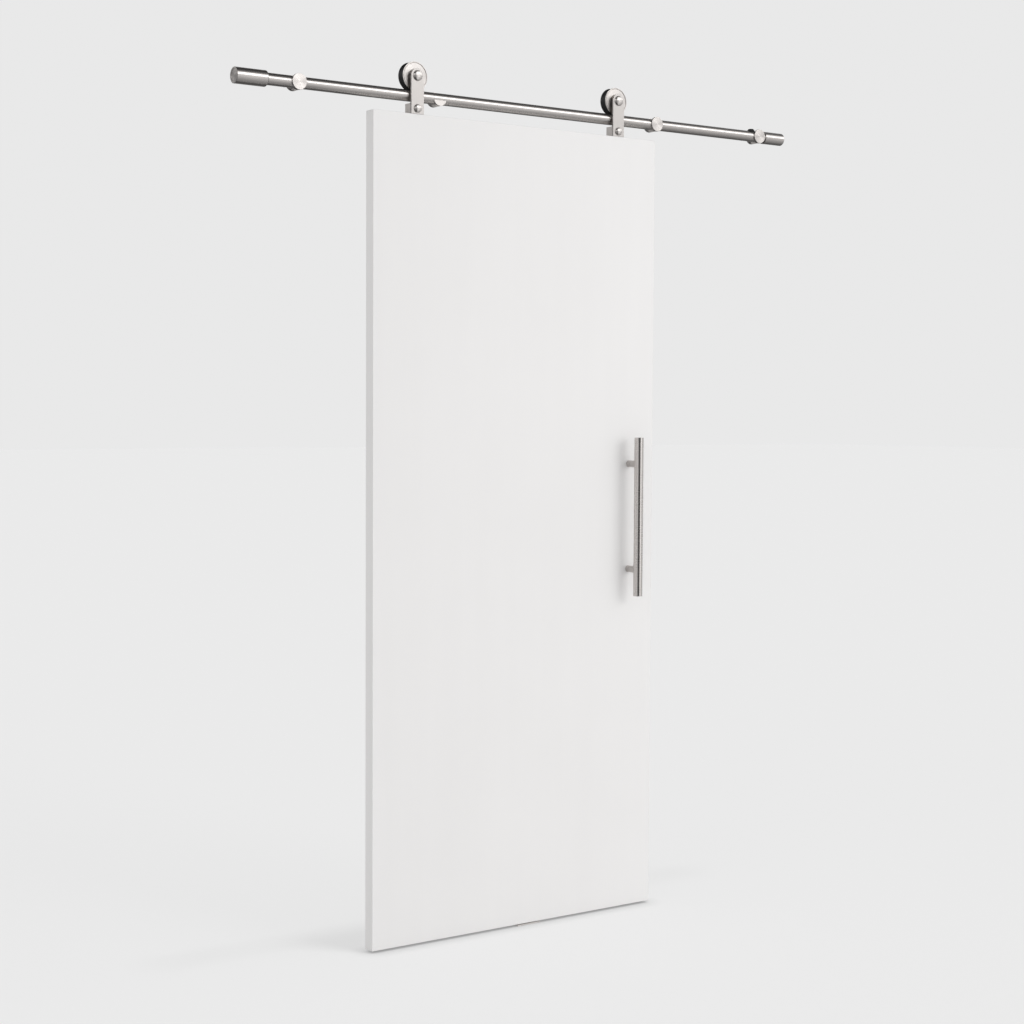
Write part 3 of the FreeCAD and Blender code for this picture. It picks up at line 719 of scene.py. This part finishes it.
class BARN_OT_wall_fixings(Operator):
    """Makes the wall bolts and the countersunk wall screw, with their wood threads as a helix on a rod"""

    bl_idname = "barn_door.wall_fixings"
    bl_label = "Wall Fixings"

    def execute(self, context):
        look = context.scene.barn_rail
        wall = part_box("standoff_1")[1][1]
        for number, name in ((1, "wall_stud_1"), (2, "wall_screw_2"), (3, "wall_stud_3"), (4, "wall_stud_4")):
            low, high = low_high(name)
            centre = ((low[0] + high[0]) / 2, 0, RAIL_AXIS[2])
            radius, wide, start = WALL_BOLT_RADIUS, extent(name)[0] / 2, low[1]
            if number == 2:
                neck = radius - MM
                corners = [(start, 0), (start, wide), (start + wide - neck, neck), (wall, neck), (wall, radius)]
            else:
                corners = [(start, 0), (start, wide), (wall, wide), (wall, radius)]
            shank = turned("Y", centre, np.array(corners), 32)
            thread = threaded(centre, wall, high[1], radius, look.thread_pitch, look.thread_depth, 8 * MM)
            end = turned("Y", centre, [(high[1], 0.0), (high[1], 1e-9)], 32)
            model(f"{name}_threaded", [shank, thread, end], "zinc plate", "rail", [name])
        return {"FINISHED"}


# ---------------------------------------------------------------- hangers


def drilled_plate(place, half_width, low, high, holes, depth, rounding, domed=False):
    """A flat plate with two holes on its middle line, rounded all round its edges.

    The plate's face is cut in two halfway between the holes. In each half a ray from the hole's middle at angle a
    meets the outline at the least of half_width / |cos a| and the distance up or down over |sin a|, or at half_width
    above the upper hole if the end is domed. place(across, along, deep) puts points in the frame.
    holes are (middle, [(radius, deep), ...]) from the front face to the back.
    """
    (first, _), (second, _) = holes
    split = (first + second) / 2
    inner = half_width - rounding
    corner = math.atan2(second - split, inner)
    ends = [math.atan2(first - low - rounding, inner)]
    if not domed:
        ends.append(math.atan2(high - rounding - second, inner))
    marks = np.array([corner, *ends])
    base = np.linspace(0, math.pi / 2, 13)
    quarter = np.unique(np.round(np.concatenate([base, marks]), 9))
    a = np.unique(np.round(np.concatenate([quarter, math.pi - quarter, -quarter, quarter - math.pi]), 9))
    a = a[a > -math.pi + 1e-9]
    s = np.linspace(0, math.pi / 2, 6)
    rise, fall, flat = rounding * (1 - np.cos(s)), rounding * (1 - np.sin(s)), [rounding * 1.15]
    insets = np.concatenate([flat, fall, rise[1:], flat])
    deeps = np.concatenate([[0], rise, depth - fall[1:], [depth]])
    patches = []
    for hole, downward in (((first, holes[0][1]), False), ((second, holes[1][1]), True)):
        centre, wall = hole
        turns = a if downward else -a[::-1]
        outer_gap = (high - rounding - centre) if downward else (centre - low - rounding)
        split_gap = abs(split - centre)
        up = np.sin(turns) > 1e-12
        away = up if downward else np.sin(turns) < -1e-12
        with np.errstate(divide="ignore", invalid="ignore"):
            side_reach = inner / np.maximum(np.abs(np.cos(turns)), 1e-12)
            end_reach = np.where(away, outer_gap, split_gap) / np.maximum(np.abs(np.sin(turns)), 1e-12)
        reach = np.minimum(side_reach, end_reach)
        if domed and downward:
            reach = np.where(np.sin(turns) >= -1e-12, inner, reach)
        across, along = reach * np.cos(turns), centre + reach * np.sin(turns)
        on_side = side_reach <= reach * (1 + 1e-7)
        on_end = (end_reach <= reach * (1 + 1e-7)) & away
        normal_across = np.where(on_side, np.sign(np.cos(turns)), 0.0)
        normal_along = np.where(on_end, 1.0 if downward else -1.0, 0.0)
        if domed and downward:
            top = np.sin(turns) >= -1e-12
            normal_across = np.where(top, np.cos(turns), normal_across)
            normal_along = np.where(top, np.sin(turns), 0.0)
        close = np.concatenate([np.arange(len(turns)), [0]])
        rows_across = across + normal_across * (rounding - insets[:, None])
        rows_along = along + normal_along * (rounding - insets[:, None])
        outer = (normal_across != 0) | (normal_along != 0)
        first_outer = int(np.argmin(np.where(outer & ~np.roll(outer, 1), np.arange(len(outer)), 10**6)))
        run = (first_outer + np.arange(int(outer.sum()))) % len(outer)
        band = np.broadcast_arrays(rows_across[:, run], rows_along[:, run], deeps[:, None])
        patches.append((place(*band), np.stack([band[1], band[0]], -1)))
        radii = np.array([r for r, _ in wall])[:, None]
        depths = np.array([d for _, d in wall])[:, None]
        wall_across, wall_along = radii * np.cos(turns[close]), centre + radii * np.sin(turns[close])
        wall_deep = np.broadcast_to(depths, wall_across.shape)
        patches.append((place(wall_across, wall_along, wall_deep), np.stack([wall_deep, wall_across], -1)))
        for level, row, ring in ((0.0, 0, 0), (depth, -1, -1)):
            held_across = np.where(outer, rows_across[row], across)[close]
            held_along = np.where(outer, rows_along[row], along)[close]
            face_across = np.stack([wall_across[ring], held_across])
            face_along = np.stack([wall_along[ring], held_along])
            face_deep = np.full(face_across.shape, level)
            patches.append((place(face_across, face_along, face_deep), np.stack([face_along, face_across], -1)))
    return patches


class BARN_OT_hanger_straps(Operator):
    """Makes the two straps: flat plates with a round top and two holes, brushed along their length"""

    bl_idname = "barn_door.hanger_straps"
    bl_label = "Hanger Straps"

    def execute(self, context):
        look = context.scene.barn_hanger
        for side in SIDES:
            low, high = low_high(f"hanger_strap_{side}")
            centre = (low[0] + high[0]) / 2
            half, thick = (high[0] - low[0]) / 2, high[1] - low[1]
            axle, clamp = middle(f"axle_bolt_{side}")[2], middle(f"clamp_bolt_{side}")[2]

            def place(across, along, deep):
                return np.stack([centre + across, low[1] + deep, along + across * 0], -1)

            holes = [
                (clamp, [(HOLE_RADIUS["clamp"], 0), (HOLE_RADIUS["clamp"], thick)]),
                (axle, [(HOLE_RADIUS["axle"], 0), (HOLE_RADIUS["axle"], thick)]),
            ]
            patches = drilled_plate(place, half, low[2], high[2], holes, thick, look.plate_rounding, domed=True)
            name = f"strap_{side}"
            model(name, patches, "plate steel", "door", [f"hanger_strap_{side}"])
        return {"FINISHED"}


class BARN_OT_hanger_blocks(Operator):
    """Makes the blocks behind the straps' feet: thick plates with two countersunk holes for their wood screws"""

    bl_idname = "barn_door.hanger_blocks"
    bl_label = "Hanger Blocks"

    def execute(self, context):
        look = context.scene.barn_hanger
        for side in SIDES:
            low, high = low_high(f"hanger_block_{side}")
            tall = high[2] - low[2]
            middle_x, middle_y = (low[0] + high[0]) / 2, (low[1] + high[1]) / 2

            def place(across, along, deep):
                return np.stack([along + across * 0, middle_y + across, high[2] - deep], -1)

            countersunk = [(5.25 * MM, 0), (2.55 * MM, 2.7 * MM), (2.55 * MM, tall)]
            holes = [(middle_x - 11 * MM, countersunk), (middle_x + 11 * MM, countersunk)]
            half = (high[1] - low[1]) / 2
            patches = drilled_plate(place, half, low[0], high[0], holes, tall, look.plate_rounding)
            name = f"block_{side}"
            model(name, patches, "blasted steel", "door", [f"hanger_block_{side}"])
            carry_over("zinc plate", f"top_screws_{side}")
        return {"FINISHED"}


class BARN_OT_domed_bolts(Operator):
    """Makes the domed axle and clamp bolts.

    Each is turned about its axis. Above a short collar the dome stands out by its rise times cos s, where its
    radius is the head's times sin(s)^0.9
    """

    bl_idname = "barn_door.domed_bolts"
    bl_label = "Domed Bolts"

    def execute(self, context):
        look = context.scene.barn_hanger
        for side in SIDES:
            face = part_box(f"hanger_strap_{side}")[0][1]
            for kind, shank in BOLT_RADIUS.items():
                node = f"{kind}_bolt_{side}"
                low, high = low_high(node)
                radius, collar = (high[0] - low[0]) / 2, look.dome_collar
                rise = face - collar - low[1]
                s = np.linspace(0, math.pi / 2, 15)
                dome = np.stack([face - collar - rise * np.cos(s), radius * np.sin(s) ** 0.9], 1)
                rest = [(face - 0.15 * MM, radius), (face, radius - 0.15 * MM), (face, shank)]
                rest += [(high[1] - 0.8 * MM, shank), (high[1], shank - 0.8 * MM), (high[1], 0)]
                centre = (middle(node)[0], 0, middle(node)[2])
                patch = turned("Y", centre, np.concatenate([dome, rest]), 72)
                model(f"{node}_domed", [patch], "turned steel", "door", [node], sharp=24)
        return {"FINISHED"}


class BARN_OT_axle_nuts(Operator):
    """Makes the axle nuts: the radius is the lesser of the hexagon's, apothem / cos b, and a chamfer cone's"""

    bl_idname = "barn_door.axle_nuts"
    bl_label = "Axle Nuts"

    def execute(self, context):
        for side in SIDES:
            node = f"axle_nut_{side}"
            low, high = low_high(node)
            wide, flat, bore = (high[0] - low[0]) / 2, (high[2] - low[2]) / 2, HOLE_RADIUS["axle"]
            b = np.linspace(-math.pi, math.pi, 145)[None]
            hexagon = flat / np.cos(np.mod(b + math.pi / 2, math.pi / 3) - math.pi / 6)
            thick = high[1] - low[1]
            deepest = thick / MM
            down = np.array([0, 0, 0, 0.35, 0.7, 1.1, deepest - 1.1, deepest - 0.7, deepest - 0.35])
            down = np.append(down, [deepest] * 3)[:, None] * MM
            cone = flat * 0.97 + (wide - flat * 0.97) * np.array([0, 0.45, 0.8, 1.02])
            limit = np.concatenate([[0, flat * 0.9], cone, cone[::-1], [flat * 0.9, 0]])[:, None]
            radius = np.maximum(np.minimum(hexagon, limit), bore)
            closing = np.concatenate([radius, radius[:1]])
            deep = np.concatenate([down, down[:1]])
            centre = (middle(node)[0], low[1], middle(node)[2])
            points = laid("Y", centre, deep, closing * np.sin(b), -closing * np.cos(b))
            uv = np.stack(np.broadcast_arrays(b * flat, deep), -1)
            model(f"nut_{side}", [(points, uv)], "zinc plate", "door", [node], sharp=20)
            carry_over("zinc plate", f"front_spacer_{side}", f"rear_spacer_{side}")
            carry_over("bearing steel", f"bearing_inner_race_{side}")
        return {"FINISHED"}


# ---------------------------------------------------------------- wheels


class BARN_OT_wheels(Operator):
    """Makes the wheels: a nylon core whose rim dips by the tube's round, and a steel disc each side of it"""

    bl_idname = "barn_door.wheels"
    bl_label = "Wheels"

    def execute(self, context):
        look = context.scene.barn_hanger
        for side in SIDES:
            body = f"wheel_{side}"
            low, high = low_high(f"wheel_core_{side}")
            axle = middle(f"wheel_core_{side}")
            centre = tuple(axle)
            rim, half = (high[0] - low[0]) / 2, (high[1] - low[1]) / 2
            groove = TUBE_RADIUS + 0.4 * MM
            drop = axle[2] - RAIL_AXIS[2]
            edge = math.sqrt(groove**2 - (drop - rim) ** 2)
            y = np.linspace(-edge, edge, 25)
            dip = np.stack([y, drop - np.sqrt(groove**2 - y**2)], 1)
            bore = 16.05 * MM
            reach = [0, 0.4 * MM, look.core_rounding, 0]
            lead = softened([(0, bore), (-half, bore), (-half, rim), (-edge, rim)], reach)
            tail = softened([(edge, rim), (half, rim), (half, bore), (0, bore)], reach[::-1])
            core = turned("Y", centre, np.concatenate([lead, dip, tail]), 128)
            model(f"wheel_{side}_nylon", [core], "black nylon", body, [f"wheel_core_{side}"])
            low, high = low_high(f"wheel_face_{side}")
            front, back = low[1] - axle[1], high[1] - axle[1]
            rim, hole = (high[0] - low[0]) / 2, 10 * MM
            step, inner = front + 0.4 * MM, rim - look.rim_width
            corners = [
                (back, hole),
                (step, hole),
                (step, inner - 1.6 * MM),
                (step + look.rim_groove, inner - 0.8 * MM),
                (step, inner),
                (front, inner + 0.1 * MM),
                (front, rim),
                (back, rim),
                (back, hole),
            ]
            reach = np.array([0, 0.3, 0.1, 0.1, 0.1, 0.25, 0.5, 0.2, 0]) * MM
            disc = turned("Y", centre, softened(corners, reach, 4), 128)
            model(f"wheel_{side}_front", [disc], "turned steel", body, [f"wheel_face_{side}"])
            low, high = low_high(f"wheel_back_{side}")
            front, back = low[1] - axle[1], high[1] - axle[1]
            rim = (high[0] - low[0]) / 2
            corners = [(front, hole), (front, rim), (back, rim), (back, hole), (front, hole)]
            disc = turned("Y", centre, softened(corners, np.array([0, 0.1, 0.3, 0.2, 0]) * MM, 4), 128)
            model(f"wheel_{side}_rear", [disc], "turned steel", body, [f"wheel_back_{side}"])
            carry_over("bearing steel", f"bearing_outer_race_{side}", f"bearing_balls_{side}")
        return {"FINISHED"}


# ---------------------------------------------------------------- door, pull and guide


class BARN_OT_door_slab(Operator):
    """Paints the door slab, whose shape comes with the frame"""

    bl_idname = "barn_door.door_slab"
    bl_label = "Door Slab"

    def execute(self, context):
        carry_over("door paint", "door_panel")
        return {"FINISHED"}


class BARN_OT_pull(Operator):
    """Makes the pull: a turned bar with a disc let into each end, on two posts whose fronts follow its round"""

    bl_idname = "barn_door.pull"
    bl_label = "Pull"

    def execute(self, context):
        look = context.scene.barn_pull
        low, high = low_high("handle_bar")
        axis = (low + high) / 2
        radius, half = (high[0] - low[0]) / 2, (high[2] - low[2]) / 2
        disc_radius = radius - 1.5 * MM
        line = half - look.cap_recess
        slope = 0.15 * MM
        corners = [(-half, 0), (-half, disc_radius - slope), (-line, disc_radius), (-half, disc_radius + slope)]
        corners.append((-half, radius))
        corners += [(-along, across) for along, across in corners[::-1]]
        reach = np.array([0, 0.05, 0.02, 0.05, look.bar_rounding / MM] * 2) * MM
        reach[5:] = reach[:5][::-1]
        bar = turned("Z", tuple(axis), softened(corners, reach, 4), 96)
        model("pull_bar", [bar], "tube steel", "door", ["handle_bar", "handle_end_caps"])
        for name in ("lower", "upper"):
            low, high = low_high(f"handle_post_{name}")
            self.post(f"pull_post_{name}", f"handle_post_{name}", axis, radius + SLIP, low, high)
        carry_over("zinc plate", "handle_bolts")
        return {"FINISHED"}

    def post(self, name, node, axis, bar_radius, low, high):
        """A round post whose front edge, at (r sin b, -r cos b), stands on the bar at the root of R^2 - x^2."""
        radius = (high[0] - low[0]) / 2
        centre = np.array([(low[0] + high[0]) / 2, 0, (low[2] + high[2]) / 2])
        b = np.linspace(-math.pi, math.pi, 65)[None]
        share = np.linspace(0, 1, 2)[:, None]

        def bar_back(x):
            return axis[1] + chord(bar_radius, x)

        x, z = radius * np.sin(b), -radius * np.cos(b)
        back = high[1] - 0.4 * MM
        side = as_grid(x, bar_back(x) * (1 - share) + back * share, z, b * radius, share * 30 * MM)
        foot = turned("Y", (0, 0, 0), [(back, radius), (high[1], radius - 0.4 * MM), (high[1], 0)], angles=b[0])
        rings = radius * np.linspace(0, 1, 9)[:, None]
        front_x = rings * np.sin(b)
        front = as_grid(front_x, bar_back(front_x), -rings * np.cos(b), rings + b * 0, b * radius)
        patches = [(p + centre, uv) for p, uv in (side, foot, front)]
        model(name, patches, "tube steel", "door", [node])


class BARN_OT_floor_guide(Operator):
    """Gives the floor guide's plate and fin their finishes"""

    bl_idname = "barn_door.floor_guide"
    bl_label = "Floor Guide"

    def execute(self, context):
        carry_over("blasted steel", "floor_guide_plate")
        carry_over("black nylon", "floor_guide_fin")
        return {"FINISHED"}


# ---------------------------------------------------------------- stage


def studio_world(look):
    """The studio by direction. Paint sees an even pale dome, the camera a plain backdrop, and steel the product of
    three bands: one by height, bright a little above level and dark overhead; one by depth, dimmer behind; and one
    from left to right, a pale panel, a dark gap and a bright panel, which gives way to an even level behind."""
    world = bpy.data.worlds.new("studio")
    world.use_nodes = True
    nodes = Tree(world.node_tree)
    nodes.tree.nodes.clear()

    def band(source, stops):
        scaled = nodes.add("MapRange", value=source, from_min=-1)
        ramp = nodes.add("ValToRGB", fac=scaled.outputs["Result"])
        ramp.color_ramp.interpolation = "EASE"
        elements = ramp.color_ramp.elements
        while len(elements) < len(stops):
            elements.new(0.5)
        for element, (place, value) in zip(elements, stops):
            element.position, element.color = (place + 1) / 2, (value, value, value, 1)
        return ramp.outputs["Color"]

    def glow(strength, colour=(1, 1, 1, 1)):
        return nodes.add("Background", strength=strength, color=colour).outputs[0]

    def choose(switch, otherwise, chosen):
        node = nodes.add("MixShader", fac=switch)
        nodes.feed(node, 1, otherwise)
        nodes.feed(node, 2, chosen)
        return node.outputs[0]

    split = nodes.add("SeparateXYZ")
    seen = nodes.add("LightPath").outputs
    out = nodes.add("OutputWorld")
    nodes.feed(split, 0, nodes.add("TexCoord").outputs["Generated"])
    side, depth, height = split.outputs
    by_height = [(-1, 0.10), (-0.8, 0.16), (-0.55, 0.25), (-0.25, 0.33), (-0.06, 0.42), (0.08, 0.38)]
    by_height += [(0.17, 0.50), (0.28, 1.2), (0.42, 1.3), (0.54, 0.8), (0.68, 0.16), (0.82, 0.05), (1, 0.02)]
    by_depth = [(-1, 1.0), (-0.2, 1.0), (0.1, 0.6), (0.4, 0.32), (1, 0.36)]
    by_side = [(-1, 0.7), (-0.85, 0.8), (-0.74, 0.5), (-0.64, 0.12), (-0.1, 0.10), (0.08, 0.22)]
    by_side += [(0.16, 1.0), (0.24, 1.5), (0.38, 1.4), (0.52, 1.0), (0.64, 1.0), (0.78, 0.6), (1, 0.9)]
    level_behind, steel_gain = 0.8, 2.3
    behind = nodes.add("MapRange", value=depth, from_min=0, from_max=0.4)
    ahead = nodes.add("Mix", factor=behind.outputs["Result"], b=level_behind)
    nodes.feed(ahead, "A", band(side, by_side))
    sides = nodes.math("MULTIPLY", band(depth, by_depth), ahead.outputs["Result"])
    steel_sees = nodes.math("MULTIPLY", band(height, by_height), sides)
    lit = choose(seen["Is Diffuse Ray"], glow(look.studio * steel_gain, steel_sees), glow(look.fill))
    nodes.feed(out, "Surface", choose(seen["Is Camera Ray"], lit, glow(look.backdrop)))
    return world


class BARN_OT_stage(Operator):
    """Makes the pale floor, the soft light and the camera"""

    bl_idname = "barn_door.stage"
    bl_label = "Stage"

    def execute(self, context):
        look, scene = context.scene.barn_stage, context.scene
        scene.view_settings.view_transform = "Standard"
        scene.world = studio_world(look)
        floor = self.floor(scene, look)
        self.key(scene, look, floor)
        self.overhead(scene, look, floor)
        self.camera(scene)
        return {"FINISHED"}

    def floor(self, scene, look):
        """A wide pale floor that glows as brightly as the backdrop, with a painted contact shadow: ambient occlusion
        dims its glow close to the door.
        """
        level, reach, darkest, spill = CAD_BOX[0][2] - 0.2 * MM, 0.05, 0.4, 0.02
        mesh = bpy.data.meshes.new("floor")
        corners = np.array([(-60, -60), (60, -60), (60, 60), (-60, 60)], float)
        mesh.from_pydata(np.column_stack([corners, np.full(4, level)]).tolist(), [], [(0, 1, 2, 3)])
        floor = bpy.data.objects.new("floor", mesh)
        scene.collection.objects.link(floor)
        nodes = Nodes("floor")
        # painted contact shadow: ambient occlusion within reach dims the floor's glow, down to darkest times its
        # level, under and beside the door
        painted_contact_shadow = nodes.add("AmbientOcclusion", distance=reach).outputs["AO"]
        glow = look.backdrop - look.floor_tone * (look.fill + look.overhead / math.pi) - spill
        nodes.set(
            base_color=(look.floor_tone, look.floor_tone, look.floor_tone, 1),
            roughness=1.0,
            specular_ior_level=0.0,
            emission_color=(1, 1, 1, 1),
            emission_strength=nodes.spread(painted_contact_shadow, glow * darkest, glow, 0, 1),
        )
        mesh.materials.append(nodes.material)
        floor.visible_glossy = False
        return floor

    def lamp(self, scene, name, kind, away, distance, floor, reaches_floor):
        """A light that stands off in a direction and lights the floor alone, or all but the floor."""
        light = bpy.data.lights.new(name, kind)
        lamp = bpy.data.objects.new(name, light)
        scene.collection.objects.link(lamp)
        lamp.location = Vector(middle("door_panel")) + away * distance
        lamp.rotation_euler = away.to_track_quat("Z", "Y").to_euler()
        lamp.visible_glossy = False
        lamp.visible_camera = False
        reached = bpy.data.collections.new(f"{name} reaches")
        reached.objects.link(floor)
        lamp.light_linking.receiver_collection = reached
        reached.collection_objects[0].light_linking.link_state = "INCLUDE" if reaches_floor else "EXCLUDE"
        return light

    def key(self, scene, look, floor):
        turn, rise = look.key_turn, look.key_rise
        away = Vector((math.sin(turn) * math.cos(rise), -math.cos(turn) * math.cos(rise), math.sin(rise)))
        light = self.lamp(scene, "key", "AREA", away, look.key_distance, floor, False)
        light.shape, light.size, light.energy = "DISK", look.key_size, look.key_power

    def overhead(self, scene, look, floor):
        away = Vector((0.06, -0.09, 1.0)).normalized()
        light = self.lamp(scene, "overhead", "SUN", away, 5.0, floor, True)
        light.angle, light.energy = math.radians(4), look.overhead

    def camera(self, scene):
        """Stands in front of the door, to its left, and looks across it and slightly down."""
        door_low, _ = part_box("door_panel")
        turn, tilt, roll = math.radians(35.632), math.radians(-2.99), math.radians(0.295)
        forward = Vector((math.sin(turn) * math.cos(tilt), math.cos(turn) * math.cos(tilt), math.sin(tilt)))
        level = forward.cross(Vector((0, 0, 1))).normalized()
        right = level * math.cos(roll) + level.cross(forward) * math.sin(roll)
        up = right.cross(forward)
        lens = bpy.data.cameras.new("camera")
        lens.lens = 67.14
        lens.sensor_width = 36.0
        lens.clip_end = 200.0
        camera = bpy.data.objects.new("camera", lens)
        scene.collection.objects.link(camera)
        turned_to = Matrix((right, up, -forward)).transposed().to_4x4()
        camera.matrix_world = Matrix.Translation(door_low + Vector((-2.5204, -4.1195, 1.3789))) @ turned_to
        scene.camera = camera


# ---------------------------------------------------------------- panel and registration


OPERATORS = (
    BARN_OT_rail_tubes,
    BARN_OT_end_sleeves,
    BARN_OT_stop_button,
    BARN_OT_standoffs,
    BARN_OT_wall_fixings,
    BARN_OT_hanger_straps,
    BARN_OT_hanger_blocks,
    BARN_OT_domed_bolts,
    BARN_OT_axle_nuts,
    BARN_OT_wheels,
    BARN_OT_door_slab,
    BARN_OT_pull,
    BARN_OT_floor_guide,
    BARN_OT_stage,
)
GROUPS = {
    "barn_rail": RailLook,
    "barn_hanger": HangerLook,
    "barn_pull": PullLook,
    "barn_finish": FinishLook,
    "barn_stage": StageLook,
}


class BARN_PT_looks(Panel):
    """Lists each piece and its sizes and colours"""

    bl_label = "Barn Door"
    bl_idname = "BARN_PT_looks"
    bl_space_type = "VIEW_3D"
    bl_region_type = "UI"
    bl_category = "Barn Door"

    def draw(self, context):
        layout = self.layout
        for group in GROUPS:
            box = layout.box()
            for name in getattr(context.scene, group).bl_rna.properties.keys()[2:]:
                box.prop(getattr(context.scene, group), name)
        for operator in OPERATORS:
            layout.operator(operator.bl_idname)


def register():
    for kind in (*GROUPS.values(), *OPERATORS, BARN_PT_looks):
        bpy.utils.register_class(kind)
    for name, group in GROUPS.items():
        setattr(bpy.types.Scene, name, PointerProperty(type=group))


def unregister():
    for name in GROUPS:
        delattr(bpy.types.Scene, name)
    for kind in (BARN_PT_looks, *reversed(OPERATORS), *reversed(tuple(GROUPS.values()))):
        bpy.utils.unregister_class(kind)


def main():
    register()
    for operator in OPERATORS:
        family, name = operator.bl_idname.split(".")
        getattr(getattr(bpy.ops, family), name)()


if __name__ == "__main__":
    main()
